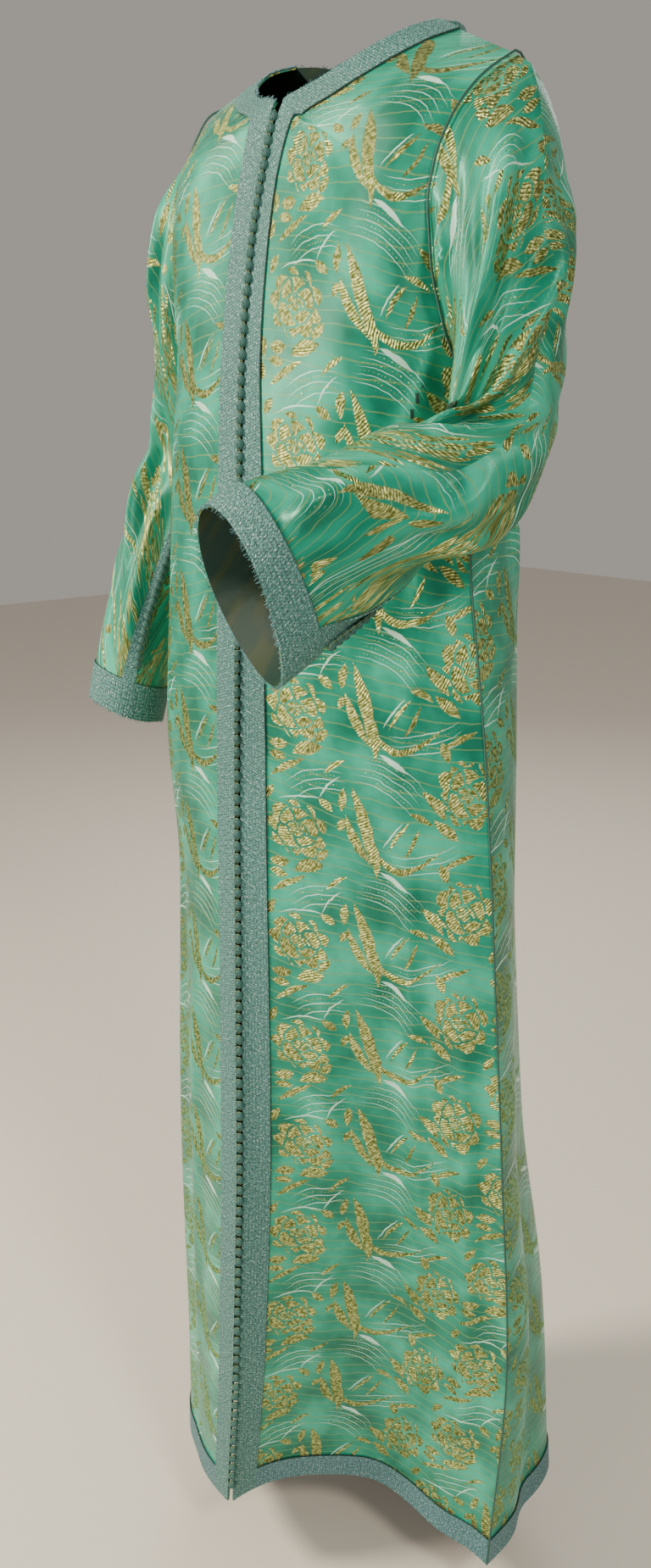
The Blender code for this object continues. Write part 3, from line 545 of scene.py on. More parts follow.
def shell(grid, normals, uv, low, high, outward, closed=False):
    rows, columns = grid.shape[:2]
    outer, inner = grid + normals * high, grid + normals * low
    vertices = np.concatenate([outer.reshape(-1, 3), inner.reshape(-1, 3)])
    half = rows * columns
    faces, corners, slots = [], [], []
    span = columns if closed else columns - 1
    for r in range(rows - 1):
        for c in range(span):
            d = (c + 1) % columns
            quad = [r * columns + c, (r + 1) * columns + c, (r + 1) * columns + d, r * columns + d]
            places = [uv[r, c], uv[r + 1, c], uv[r + 1, c + 1], uv[r, c + 1]]
            if outward < 0:
                quad, places = quad[::-1], places[::-1]
            faces.append(quad)
            corners += places
            slots.append(0)
            faces.append([k + half for k in quad[::-1]])
            corners += places[::-1]
            slots.append(1)

    def rim(loop, places):
        for k in range(len(loop) - 1):
            a, b = loop[k], loop[k + 1]
            faces.append([b, a, a + half, b + half] if outward > 0 else [a, b, b + half, a + half])
            pa, pb = places[k], places[k + 1]
            corners.extend([pb, pa, pa, pb] if outward > 0 else [pa, pb, pb, pa])
            slots.append(0)

    across = list(range(columns)) + ([0] if closed else [])
    rim([c for c in across][::-1], [uv[0, k] for k in range(len(across))][::-1])
    last = (rows - 1) * columns
    rim([last + c for c in across], [uv[-1, k] for k in range(len(across))])
    if not closed:
        rim([r * columns for r in range(rows)], [uv[r, 0] for r in range(rows)])
        rim([r * columns + columns - 1 for r in range(rows)][::-1], [uv[r, -1] for r in range(rows)][::-1])
    return vertices, faces, corners, slots


def closedNormals(grid, outward):
    wrapped = np.concatenate([grid[:, -1:], grid, grid[:, :1]], 1)
    roundWay = (wrapped[:, 2:] - wrapped[:, :-2]) / 2
    return unit(np.cross(roundWay, np.gradient(grid, axis=0))) * outward


def cordData(points, normals, radius, sides):
    points = np.asarray(points)
    heading = unit(np.gradient(points, axis=0))
    up = unit(normals - heading * (normals * heading).sum(1)[:, None])
    cross = np.cross(heading, up)
    reach = reachOf(points)
    rings, places = [], []
    for k in range(sides):
        angle = 2 * math.pi * k / sides
        rings.append(points + radius * (up * math.cos(angle) + cross * math.sin(angle)))
        places.append(np.stack([np.full(len(points), k / sides * 2 * math.pi * radius), reach], -1))
    ring = np.stack(rings, 1)
    uv = np.stack(places, 1)
    count = len(points)
    vertices = list(ring.reshape(-1, 3)) + [points[0], points[-1]]
    faces, corners = [], []
    for r in range(count - 1):
        for k in range(sides):
            j = (k + 1) % sides
            faces.append([r * sides + k, r * sides + j, (r + 1) * sides + j, (r + 1) * sides + k])
            corners += [uv[r, k], uv[r, j], uv[r + 1, j], uv[r + 1, k]]
    for k in range(sides):
        j = (k + 1) % sides
        faces.append([count * sides, j, k])
        faces.append([count * sides + 1, (count - 1) * sides + k, (count - 1) * sides + j])
        corners += [uv[0, 0]] * 3 + [uv[-1, 0]] * 3
    return vertices, faces, corners, [0] * len(faces)


def resample(points, normals, step):
    reach = reachOf(points)
    marks = np.linspace(0, reach[-1], max(3, int(reach[-1] / step) + 1))
    return atMarks(marks, reach, points), unit(atMarks(marks, reach, normals))


def joined(parts):
    vertices, faces, corners, slots = [], [], [], []
    for v, f, c, s in parts:
        faces += [[k + len(vertices) for k in face] for face in f]
        vertices += list(v)
        corners += list(c)
        slots += list(s)
    return vertices, faces, corners, slots


def mend(piece, slotName, *nodes):  # rides on the garment and stands for its plain solids
    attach(piece, "root")
    if nodes:
        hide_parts(*nodes)
    print("made", piece.name)
    return piece


# finishes

def linear(code):  # sRGB hex to the linear colour that nodes take
    parts = [int(code[k:k + 2], 16) / 255 for k in (1, 3, 5)]
    return (*[p / 12.92 if p <= 0.04045 else ((p + 0.055) / 1.055) ** 2.4 for p in parts], 1)


def addNode(tree, kind, *feeds, give=0, named=None, **settings):
    made = tree.nodes.new("ShaderNode" + kind)
    for key, value in settings.items():
        setattr(made, key, value)
    for place, feed in list(enumerate(feeds)) + list((named or {}).items()):
        if feed is None:
            continue
        if isinstance(feed, bpy.types.NodeSocket):
            tree.links.new(feed, made.inputs[place])
        else:
            made.inputs[place].default_value = feed
    return made.outputs[give] if made.outputs else made


colourMix = {"give": 2, "data_type": "RGBA"}  # a Mix node's colours are its inputs 6 and 7


def millimetres(tree):
    uv = addNode(tree, "UVMap", uv_map="UVMap")
    return addNode(tree, "VectorMath", uv, (1000, 1000, 0), operation="MULTIPLY")


def ridges(tree, way, pitch):  # 0 to 1 and back once in each pitch
    turn = addNode(tree, "Math", way, 2 * math.pi / pitch, operation="MULTIPLY")
    swing = addNode(tree, "Math", turn, operation="SINE")
    return addNode(tree, "Math", swing, 0.5, 0.5, operation="MULTIPLY_ADD")


def dress(tree, shader, colour, height, strength, depth):
    tree.links.new(colour, shader.inputs["Base Color"])
    sockets = {"Strength": strength, "Distance": depth, "Height": height}
    tree.links.new(addNode(tree, "Bump", named=sockets), shader.inputs["Normal"])


def newFinish(name, roughness, **sockets):
    finish = bpy.data.materials.new(name)
    finish.use_nodes = True
    shader = finish.node_tree.nodes["Principled BSDF"]
    shader.inputs["Roughness"].default_value = roughness
    for key, value in sockets.items():
        shader.inputs[key].default_value = value
    return finish, finish.node_tree, shader


# woven silk-like satin brocade: a mint ground with gold and silver metal thread floated on it
brocade = {
    "repeatWide": 200.0,  # mm
    "repeatTall": 104.0,
    "ground": "#1C8A72",
    # painted highlight and painted shade of the satin ground, set in random patches
    "groundPaintedHighlight": "#33AF93",
    "groundPaintedShade": "#126854",
    "gold": "#545F1E",
    # painted highlight of the gold floats where they glint
    "goldGlintHighlight": "#EEF3A6",
    "silver": "#BFE6D6",
    "drawn": "#7C9A58",  # single threads of the drawing, fine and flat
    "wrongSide": "#133F33",
    "wrongGold": "#34492A",
    "ribPitch": 2.2,  # real floats are 0.7 mm apart, drawn coarser so that they show
    "threadPitch": 1.0,  # real warp is 0.15 mm
}
# sprigs and strokes in one repeat, mm: middle, half length, half width, turn in degrees, bend
strokeHeads = ("x", "y", "long", "wide", "turn", "bend")
goldStrokes = (
    (48, 1, 21, 3.2, 34, 0.10),
    (40, 18, 10, 5.5, 8, -0.20),
    (67, 21, 16, 6.5, 22, 0.25),
    (39, 8, 9, 4.2, -4, 0.10),
    (80, 34, 9, 4.0, 48, 0.10),
    (84, 80, 8, 4.5, -30, 0.10),
    (30, 78, 9, 4.0, 60, 0.20),
    (119, 68, 36, 6.0, -76, 0.20),
    (110, 54, 24, 4.6, -62, -0.25),
    (127, 44, 22, 4.0, -82, 0.20),
    (99, 88, 11, 4.0, 84, 0.10),
    (98, 66, 7, 3.6, 62, 0.10),
    (144, 34, 40, 3.6, -8, -1.9),
    (178, 98, 15, 5.2, -46, 0.15),
    (166, 84, 11, 3.2, -20, 0.25),
    (187, 78, 13, 5.4, -34, 0.10),
    (186, 40, 9, 4.6, -70, 0.10),
    (147, 66, 18, 2.0, 56, 0.15),
    (160, 60, 16, 1.8, 66, -0.15),
    (196, 52, 19, 2.7, 36, 0.12),
    (92, 12, 13, 2.4, 40, 0.20),
)
silverStrokes = (
    (144, 24, 15, 2.7, -28, 0.20),
    (86, 98, 16, 0.9, 52, 0.45),
    (142, 66, 17, 0.8, 56, 0.15),
    (60, 82, 24, 0.8, 12, 0.30),
)
fanHeads = ("x", "y", "long", "spacing", "lines", "turn", "bend")
fans = (
    (142, 10, 31, 6.5, 5, -24, -0.30),
    (172, 44, 34, 7.5, 3, 20, 0.22),
    (74, 100, 30, 8.0, 3, 20, -0.26),
)
# open flower heads: middle, half width, half height, lobes
flowers = ((57, 52, 29, 26, 9), (4, 8, 25, 30, 8))

satin = {  # the long floats of the weave throw back a green sheen
    "Specular IOR Level": 0.70,
    "Specular Tint": linear("#7FE0C6"),
    "Sheen Weight": 0.04,
    "Sheen Roughness": 0.35,
    "Sheen Tint": linear("#BDEBDD"),
}


def brocadeFinish(name, shift, flip=1):
    finish, tree, shader = newFinish(name, 0.30, **satin)
    wide, tall = brocade["repeatWide"], brocade["repeatTall"]
    uv = addNode(tree, "UVMap", uv_map="UVMap")
    mm = addNode(tree, "VectorMath", uv, (1000 * flip, 1000, 0), (*shift, 0), operation="MULTIPLY_ADD")
    waver = addNode(tree, "TexNoise", mm, None, 0.09, 2.0, give=1)
    waver = addNode(tree, "VectorMath", waver, (3.2, 3.2, 0), (-1.6, -1.6, 0), operation="MULTIPLY_ADD")
    cloth = addNode(tree, "VectorMath", mm, waver, operation="ADD")

    def place(x, y, turn, sizeX, sizeY):
        moved = addNode(tree, "VectorMath", cloth, (x, y, 0), operation="SUBTRACT")
        half = (wide / 2, tall / 2, 1)
        moved = addNode(tree, "VectorMath", moved, half, tuple(-h for h in half), operation="WRAP")
        if turn:
            back = math.radians(-turn)
            moved = addNode(tree, "VectorRotate", moved, None, None, back, rotation_type="Z_AXIS")
        return addNode(tree, "VectorMath", moved, (1 / sizeX, 1 / sizeY, 0), operation="MULTIPLY")

    def strokes(rows):
        best = None
        for row in rows:
            mark = dict(zip(strokeHeads, row))
            spot = place(mark["x"], mark["y"], mark["turn"], mark["long"], mark["wide"])
            x, y = addNode(tree, "SeparateXYZ", spot).node.outputs[:2]
            square = addNode(tree, "Math", x, x, operation="MULTIPLY")
            bow = mark["bend"] * mark["long"] / mark["wide"] * 0.5
            y = addNode(tree, "Math", square, bow, y, operation="MULTIPLY_ADD")
            y = addNode(tree, "Math", y, operation="ABSOLUTE")
            inside = addNode(tree, "Math", square, y, operation="ADD")
            inside = addNode(tree, "Math", 1.0, inside, operation="SUBTRACT")
            best = inside if best is None else addNode(tree, "Math", best, inside, operation="MAXIMUM")
        return best

    gold = strokes(goldStrokes)
    for x, y, across, upright, lobes in flowers:
        spot = place(x, y, 0, across, upright)
        reach = addNode(tree, "VectorMath", spot, operation="LENGTH", give=1)
        way = addNode(tree, "VectorMath", spot, operation="NORMALIZE")
        px, py = addNode(tree, "SeparateXYZ", spot).node.outputs[:2]
        angle = addNode(tree, "Math", py, px, operation="ARCTAN2")
        lobe = addNode(tree, "Math", angle, lobes / 2, operation="MULTIPLY")
        lobe = addNode(tree, "Math", lobe, operation="SINE")
        lobe = addNode(tree, "Math", lobe, operation="ABSOLUTE")
        rim = addNode(tree, "Math", lobe, 0.22, 0.80, operation="MULTIPLY_ADD")
        inside = addNode(tree, "Math", rim, reach, operation="SUBTRACT")
        inside = addNode(tree, "Math", inside, 7.0, operation="MULTIPLY")
        layers = addNode(tree, "CombineXYZ", 0.0, 0.0, reach)
        petals = addNode(tree, "VectorMath", way, (0.75, 0.75, 0), operation="MULTIPLY")
        layers = addNode(tree, "VectorMath", layers, (0, 0, 2.5), petals, operation="MULTIPLY_ADD")
        gaps = addNode(tree, "TexVoronoi", layers, None, 1.05, named={"Randomness": 0.8},
                       voronoi_dimensions="3D", feature="DISTANCE_TO_EDGE")
        gaps = addNode(tree, "Math", gaps, 9.0, -0.55, operation="MULTIPLY_ADD")
        inside = addNode(tree, "Math", inside, gaps, operation="MINIMUM")
        gold = addNode(tree, "Math", gold, inside, operation="MAXIMUM")

    silver = strokes(silverStrokes)
    dots = None
    for row in fans:
        fan = dict(zip(fanHeads, row))
        spot = place(fan["x"], fan["y"], fan["turn"], fan["long"], fan["spacing"])
        x, y = addNode(tree, "SeparateXYZ", spot).node.outputs[:2]
        square = addNode(tree, "Math", x, x, operation="MULTIPLY")
        bow = -fan["bend"] * fan["long"] / fan["spacing"]
        y = addNode(tree, "Math", square, bow, y, operation="MULTIPLY_ADD")
        line = addNode(tree, "Math", y, 0.5, -0.5, operation="WRAP")
        line = addNode(tree, "Math", line, operation="ABSOLUTE")
        taper = addNode(tree, "Math", square, -0.055, 0.055, operation="MULTIPLY_ADD")
        line = addNode(tree, "Math", taper, line, operation="SUBTRACT")
        line = addNode(tree, "Math", line, 12.0, operation="MULTIPLY")
        count = addNode(tree, "Math", y, operation="ABSOLUTE")
        count = addNode(tree, "Math", fan["lines"] / 2, count, operation="SUBTRACT")
        line = addNode(tree, "Math", line, count, operation="MINIMUM")
        silver = addNode(tree, "Math", silver, line, operation="MAXIMUM")
        between = addNode(tree, "Math", y, 0.5, operation="ADD")
        between = addNode(tree, "Math", between, 0.5, -0.5, operation="WRAP")
        between = addNode(tree, "Math", between, operation="ABSOLUTE")
        between = addNode(tree, "Math", taper, between, operation="SUBTRACT")
        beads = addNode(tree, "Math", x, fan["long"] * 2.0, operation="MULTIPLY")
        beads = addNode(tree, "Math", beads, operation="SINE")
        between = addNode(tree, "Math", between, 12.0, operation="MULTIPLY")
        between = addNode(tree, "Math", between, beads, operation="MINIMUM")
        between = addNode(tree, "Math", between, count, operation="MINIMUM")
        dots = between if dots is None else addNode(tree, "Math", dots, between, operation="MAXIMUM")

    # metal thread floats in ribs that change direction from patch to patch
    patch = addNode(tree, "TexVoronoi", cloth, None, 0.055, give=1, voronoi_dimensions="2D")
    lean = addNode(tree, "Math", patch, 1.5, 0.1, operation="MULTIPLY_ADD")
    ribs = addNode(tree, "VectorRotate", cloth, None, None, lean, rotation_type="Z_AXIS")
    ribs = ridges(tree, addNode(tree, "SeparateXYZ", ribs), brocade["ribPitch"])
    edge = addNode(tree, "Math", ribs, 0.10, operation="MULTIPLY")
    gold = addNode(tree, "Math", gold, edge, operation="SUBTRACT")
    goldMask = addNode(tree, "MapRange", gold, 0.0, 0.07, 0.0, 1.0)
    dotMask = addNode(tree, "MapRange", dots, 0.0, 0.25, 0.0, 1.0)
    silverMask = addNode(tree, "MapRange", silver, 0.0, 0.18, 0.0, 1.0)
    metalMask = addNode(tree, "Math", goldMask, dotMask, operation="MAXIMUM")

    # painted highlight and shade: the ground is mixed lighter and darker in large random patches that stand
    # in for the satin's sheen
    paintedSheenPatches = addNode(tree, "TexNoise", mm, None, 0.018, 3.0)
    ground = addNode(tree, "ValToRGB", paintedSheenPatches)
    ramps = ground.node.color_ramp.elements
    ramps[0].position, ramps[0].color = 0.36, linear(brocade["groundPaintedShade"])
    ramps[1].position, ramps[1].color = 0.66, linear(brocade["groundPaintedHighlight"])
    middle = ground.node.color_ramp.elements.new(0.5)
    middle.color = linear(brocade["ground"])
    # painted glints: noise, raised on the rib crests, mixes the gold towards its pale highlight colour; the
    # rib troughs stay dull as painted shade
    glint = addNode(tree, "TexNoise", cloth, None, 0.33, 2.0)
    glint = addNode(tree, "MapRange", glint, 0.40, 0.64, 0.10, 1.0)
    shine = addNode(tree, "Math", ribs, 0.65, 0.35, operation="MULTIPLY_ADD")
    glint = addNode(tree, "Math", glint, shine, operation="MULTIPLY")
    flow = addNode(tree, "TexWave", cloth, 0.030, 11.0, 1.5, 0.25, bands_direction="Y")
    flow = addNode(tree, "MapRange", flow, 0.955, 0.99, 0.0, 0.55)
    ground = addNode(tree, "Mix", flow, named={6: ground, 7: linear(brocade["drawn"])}, **colourMix)
    golds = {6: linear(brocade["gold"]), 7: linear(brocade["goldGlintHighlight"])}
    goldWithPaintedGlints = addNode(tree, "Mix", glint, named=golds, **colourMix)
    shown = addNode(tree, "Mix", silverMask, named={6: ground, 7: linear(brocade["silver"])}, **colourMix)
    shown = addNode(tree, "Mix", metalMask, named={6: shown, 7: goldWithPaintedGlints}, **colourMix)
    tree.links.new(shown, shader.inputs["Base Color"])
    metal = addNode(tree, "Math", metalMask, 0.85, operation="MULTIPLY")
    tree.links.new(metal, shader.inputs["Metallic"])
    gloss = addNode(tree, "Math", metalMask, 0.06, 0.27, operation="MULTIPLY_ADD")
    tree.links.new(gloss, shader.inputs["Roughness"])

    # the ribs are raised only where metal thread floats, over the fine warp of the ground
    thread = addNode(tree, "TexWave", mm, 1 / brocade["threadPitch"], 0.4, bands_direction="Y")
    woven = addNode(tree, "Bump", named={"Strength": 0.25, "Distance": 0.0004, "Height": thread})
    lifted = addNode(tree, "Math", metalMask, 0.85, operation="MULTIPLY")
    raised = {"Strength": lifted, "Distance": 0.0006, "Height": ribs, "Normal": woven}
    bumped = addNode(tree, "Bump", named=raised)
    tree.links.new(bumped, shader.inputs["Normal"])
    return finish


def wrongSideFinish(name):  # the loose side of the brocade: duller, with the gold carried behind
    finish, tree, shader = newFinish(name, 0.6)
    mm = millimetres(tree)
    cloud = addNode(tree, "TexNoise", mm, None, 0.03, 3.0)
    mask = addNode(tree, "MapRange", cloud, 0.46, 0.58, 0.0, 1.0)
    colours = {6: linear(brocade["wrongSide"]), 7: linear(brocade["wrongGold"])}
    shown = addNode(tree, "Mix", mask, named=colours, **colourMix)
    thread = addNode(tree, "TexWave", mm, 0.8, 0.6, bands_direction="Y")
    dress(tree, shader, shown, thread, 0.4, 0.0005)
    return finish


# knitted rayon braid: matte chains with a fine silver filament that catches the light
def braidFinish(name, grooveShade, body, speck):
    finish, tree, shader = newFinish(name, 0.62)
    mm = millimetres(tree)
    across, lengthways = addNode(tree, "SeparateXYZ", mm).node.outputs[:2]
    chain = addNode(tree, "Math", across, 1.5, -1.5, operation="WRAP")  # 3 mm chains
    lean = addNode(tree, "Math", chain, operation="ABSOLUTE")
    groove = addNode(tree, "MapRange", lean, 0.0, 0.55, 0.0, 1.0)
    stitch = addNode(tree, "Math", lean, 0.9, lengthways, operation="MULTIPLY_ADD")
    stitch = ridges(tree, stitch, 2.4)  # loops 2.4 mm long
    height = addNode(tree, "Math", stitch, groove, operation="MULTIPLY")
    grain = addNode(tree, "TexNoise", mm, None, 0.42, 3.0)
    grain = addNode(tree, "MapRange", grain, 0.38, 0.62, 0.0, 1.0)
    height = addNode(tree, "Math", height, 0.55, operation="MULTIPLY")
    height = addNode(tree, "Math", grain, 0.45, height, operation="MULTIPLY_ADD")
    fleck = addNode(tree, "TexNoise", mm, None, 0.62, 2.0)
    fleck = addNode(tree, "MapRange", fleck, 0.57, 0.64, 0.0, 1.0)
    fleck = addNode(tree, "Math", fleck, height, operation="MULTIPLY")
    # painted shade: the grooves between the chains take the dark colour and the raised loops the lighter
    # one; the random grain varies it too
    shown = addNode(tree, "Mix", height, named={6: linear(grooveShade), 7: linear(body)}, **colourMix)
    shown = addNode(tree, "Mix", fleck, named={6: shown, 7: linear(speck)}, **colourMix)
    metal = addNode(tree, "Math", fleck, 0.7, operation="MULTIPLY")
    tree.links.new(metal, shader.inputs["Metallic"])
    dress(tree, shader, shown, height, 0.9, 0.0008)
    return finish


# twisted rayon cord: two plies wound round each other
def cordFinish(name, grooveShade, body, pitch, roughness=0.55):
    finish, tree, shader = newFinish(name, roughness)
    across, lengthways = addNode(tree, "SeparateXYZ", millimetres(tree)).node.outputs[:2]
    twist = addNode(tree, "Math", across, lengthways, operation="ADD")
    twist = ridges(tree, twist, pitch)
    # painted shade: the groove between the plies takes the dark colour, the crest of each ply the lighter
    # one
    shown = addNode(tree, "Mix", twist, named={6: linear(grooveShade), 7: linear(body)}, **colourMix)
    dress(tree, shader, shown, twist, 0.8, 0.0004)
    return finish


finishes = {
    "frontLeft": brocadeFinish("brocadeFrontLeft", (0, 4)),
    "frontRight": brocadeFinish("brocadeFrontRight", (0, 52), -1),
    "back": brocadeFinish("brocadeBack", (100, 20)),
    "sleeveLeft": brocadeFinish("brocadeSleeveLeft", (30, 60)),
    "sleeveRight": brocadeFinish("brocadeSleeveRight", (90, 10)),
    "wrongSide": wrongSideFinish("brocadeWrongSide"),
    # the first colour of each braid and cord is painted shade in its grooves
    "braid": braidFinish("knittedBraid", "#1B4A48", "#5C9C97", "#DCEFEE"),
    "hemBraid": braidFinish("knittedBraidHem", "#1D4B50", "#5A939A", "#DCEEF2"),
    "edging": cordFinish("darkEdgingCord", "#173633", "#2F5C56", 1.2),
    "piping": cordFinish("twistedPiping", "#1C4740", "#3C7468", 1.6),
    "knot": cordFinish("knotCord", "#153936", "#47807A", 1.4),
    "loop": cordFinish("goldLoopThread", "#3E5A44", "#8FA77A", 0.9, 0.4),
    "fray": cordFinish("frayedThread", "#4F8A97", "#8FC0C8", 0.8),
}
print("finishes made")


# the cloth: fine grids through the same rows as the part

braidColumns = detail["braidColumns"]
armholeEnd = detail["collarRows"] + detail["armholeRows"]
levels = rowLevels()
fronts = [frontGrid("frontLeft"), frontGrid("frontRight")]
back = backGrid(fronts)
sleeves = {"left": sleeveGrid(1, fronts[0], back), "right": sleeveGrid(-1, fronts[1], back[:, ::-1])}
normals = {
    "frontLeft": gridNormals(fronts[0], 1),
    "frontRight": gridNormals(fronts[1], -1),
    "back": gridNormals(back, 1),
    "sleeveLeft": closedNormals(sleeves["left"], 1),
    "sleeveRight": closedNormals(sleeves["right"], -1),
}
grids = {
    "frontLeft": (fronts[0], 1, "front_left"),
    "frontRight": (fronts[1], -1, "front_right"),
    "back": (back, 1, "back"),
    "sleeveLeft": (sleeves["left"], -1, "sleeve_left"),
    "sleeveRight": (sleeves["right"], 1, "sleeve_right"),
}
panels = {}
cut = {  # flat width and length of each panel as cut, and its area, in metres
    "frontLeft": (0.31, 1.42, 0.32),
    "frontRight": (0.30, 1.42, 0.33),
    "back": (0.60, 1.40, 0.72),
    "sleeveLeft": (0.44, 0.60, 0.14),
    "sleeveRight": (0.44, 0.60, 0.13),
}
for name, (grid, outward, node) in grids.items():
    closed = name.startswith("sleeve")
    uv = surfaceUv(grid, closed, 0 if closed else armholeEnd)
    if name.startswith("front"):
        uv[..., 0] += np.abs(grid[:, :1, 0])  # measured from the centre front above the notch too
    if name == "back":
        uv[..., 0] -= uv[:, uv.shape[1] // 2, 0][:, None]
    data = shell(grid, normals[name], uv, -detail["cloth"], 0, outward, closed)
    piece = makeMesh(name, data, [finishes[name], finishes["wrongSide"]])
    panels[name] = mend(piece, "brocade", node)


def strip(name, rows, columns, low=None, high=None):
    grid, outward = grids[name][:2]
    uv = surfaceUv(grid[rows, columns])
    low = trim["lift"] if low is None else low
    high = trim["lift"] + trim["thick"] if high is None else high
    return shell(grid[rows, columns], normals[name][rows, columns], uv, low, high, outward)


collar, columnsOfBraid = slice(0, detail["collarRows"] + 1), slice(0, braidColumns + 1)
below = slice(detail["collarRows"], None)
neckTop = slice(0, int(round(detail["collarRows"] * 0.8 / notch)) + 1)
shoulder = braidColumns + detail["panelColumns"]
neckSpan = slice(shoulder - braidColumns, shoulder + detail["neckColumns"] + braidColumns + 1)
hemRows = slice(-detail["bandRows"] - 1, None)


def sideways(data):  # swaps the two texture directions of a strip
    vertices, faces, corners, slots = data
    return vertices, faces, [(c[1], c[0]) for c in corners], slots


strips = {
    "neckBraid": ("neck_braid", "braid", [
        strip("frontLeft", collar, columnsOfBraid), strip("frontRight", collar, columnsOfBraid),
        sideways(strip("back", neckTop, neckSpan))]),
    "frontBraidLeft": ("front_braid_left", "braid", [strip("frontLeft", below, columnsOfBraid)]),
    "frontBraidRight": ("front_braid_right", "braid", [strip("frontRight", below, columnsOfBraid)]),
    "hemBraid": ("hem_braid", "hemBraid", [
        sideways(strip("frontLeft", hemRows, slice(braidColumns, None))),
        sideways(strip("back", hemRows, slice(None))),
        sideways(strip("frontRight", hemRows, slice(braidColumns, None)))]),
}
for name, (node, finish, parts) in strips.items():
    piece = makeMesh(name, joined(parts), [finishes[finish], finishes[finish]])
    panels[name] = mend(piece, "braid", node)


def roundStrip(side):
    name = "sleeve" + side
    grid, outward = grids[name][:2]
    uv = surfaceUv(grid[hemRows], True)
    data = shell(grid[hemRows], normals[name][hemRows], uv, trim["lift"],
                 trim["lift"] + trim["thick"], outward, True)
    return sideways(data)


def ringLine(values, seam, share):  # values on each ring at a share of the way round past the seam
    place = (seam + share * values.shape[1]) % values.shape[1]
    low = np.floor(place).astype(int) % values.shape[1]
    part = (place - np.floor(place))[:, None]
    rows = np.arange(len(values))
    return values[rows, low] * (1 - part) + values[rows, (low + 1) % values.shape[1]] * part


seamBraid = {  # shares of the sleeve's length and round
    "start": 0.5625,
    "wide": 0.064,
    "narrow": 0.030,
    "turn": {"Left": 0.06, "Right": 0.0},  # the left one runs on the forearm's lower edge
    "low": {"Left": 0, "Right": -1},  # the strip lies on the outer side, or on the inner one
}
seamStart = 1 + int(seamBraid["start"] * (detail["sleeveRows"] - 1))
seamRows = slice(seamStart, 1 + detail["sleeveRows"])
seamCount = seamRows.stop - seamRows.start
for side in ("Left", "Right"):
    name = "sleeve" + side
    grid, outward = grids[name][:2]
    piece = makeMesh("cuffBraid" + side, roundStrip(side), [finishes["braid"]] * 2)
    panels["cuffBraid" + side] = mend(piece, "braid", "cuff_braid_" + side.lower())
    spread = np.linspace(seamBraid["narrow"], seamBraid["wide"], seamCount)
    shares = [seamBraid["turn"][side] + spread * (k / 4 + seamBraid["low"][side]) for k in range(5)]
    lines = [ringLine(grid[seamRows], armholeEnd, share) for share in shares]
    facing = [unit(ringLine(normals[name][seamRows], armholeEnd, share)) for share in shares]
    lines, facing = np.stack(lines, 1), np.stack(facing, 1)
    data = shell(lines, facing, surfaceUv(lines), trim["lift"], trim["lift"] + trim["thick"], outward)
    piece = makeMesh("sleeveSeamBraid" + side, data, [finishes["braid"]] * 2)
    panels["sleeveSeamBraid" + side] = mend(piece, "braid", "sleeve_seam_braid_" + side.lower())
print("braids made")

# piping in the seams and the dark cord that finishes each braid
def layPiping(name, node, line, facing, lift):
    line, facing = resample(line, facing, trim["step"])
    data = cordData(line + facing * lift, facing, trim["piping"], 8)
    mend(makeMesh(name, data, [finishes["piping"]]), "piping", node)


for side, panel, edge in (("Left", "frontLeft", 0), ("Right", "frontRight", -1)):
    sleeve = "sleeve" + side
    grid = grids[panel][0]
    facing = unit(normals[panel][armholeEnd:, -1] + normals["back"][armholeEnd:, edge])
    layPiping("sidePiping" + side, "side_piping_" + side.lower(), grid[armholeEnd:, -1][2:], facing[2:],
              trim["piping"] + trim["sideLift"])
    ring = np.roll(np.arange(armholeEnd * 2), armholeEnd)[2:-1]
    body = np.concatenate([normals[panel][: armholeEnd + 1, -1], normals["back"][armholeEnd - 1:0:-1, edge]])
    facing = unit(body + normals[sleeve][0])[ring]
    layPiping("armholePiping" + side, "armhole_piping_" + side.lower(), grids[sleeve][0][0][ring], facing,
              trim["piping"] * trim["armholeRise"] + trim["armholeLift"])


def edgeCord(name, rows, column):
    line, facing = resample(grids[name][0][rows, column], normals[name][rows, column], trim["edgingStep"])
    return cordData(line + facing * trim["edgingLift"], facing, trim["edging"], 6)


edging = [
    edgeCord("frontLeft", slice(0, None), braidColumns),
    edgeCord("frontRight", slice(0, None), braidColumns),
    edgeCord("frontLeft", hemRows.start, slice(braidColumns, None)),
    edgeCord("back", hemRows.start, slice(None)),
    edgeCord("frontRight", hemRows.start, slice(braidColumns, None)),
    edgeCord("back", neckTop.stop - 1, neckSpan),
    edgeCord("sleeveLeft", hemRows.start, slice(None)),
    edgeCord("sleeveRight", hemRows.start, slice(None)),
]
mend(makeMesh("braidEdging", joined(edging), [finishes["edging"]]), "piping")


# knots: a small ball of cord for each, with the thread loop that closes over it

def knotBall(centre, out, way, radius):
    side = np.cross(way, out)
    across, rings = 12, 8
    vertices, faces, corners = [], [], []
    for r in range(rings + 1):
        polar = math.pi * r / rings
        for k in range(across):
            turn = 2 * math.pi * k / across
            size = radius * (1 + knots["ripple"] * math.cos(3 * turn + 4 * polar))
            level = side * math.cos(turn) + way * math.sin(turn)
            place = level * math.sin(polar) + out * math.cos(polar) * knots["height"]
            vertices.append(centre + place * size)
    for r in range(rings):
        for k in range(across):
            j = (k + 1) % across
            faces.append([r * across + k, (r + 1) * across + k, (r + 1) * across + j, r * across + j])
            square = ((k, r), (k, r + 1), (k + 1, r + 1), (k + 1, r))
            corners += [(a * 0.001, b * 0.001) for a, b in square]
    return vertices, faces, corners, [0] * len(faces)


def loopData(centre, out, way, reach, size):
    side = np.cross(way, out)
    turns = np.linspace(-1.9, 1.9, 13)
    line = np.array([centre + side * reach * math.cos(t) + way * size * math.sin(t) for t in turns])
    return cordData(line, np.tile(out, (len(turns), 1)), knots["loopThread"], 5)


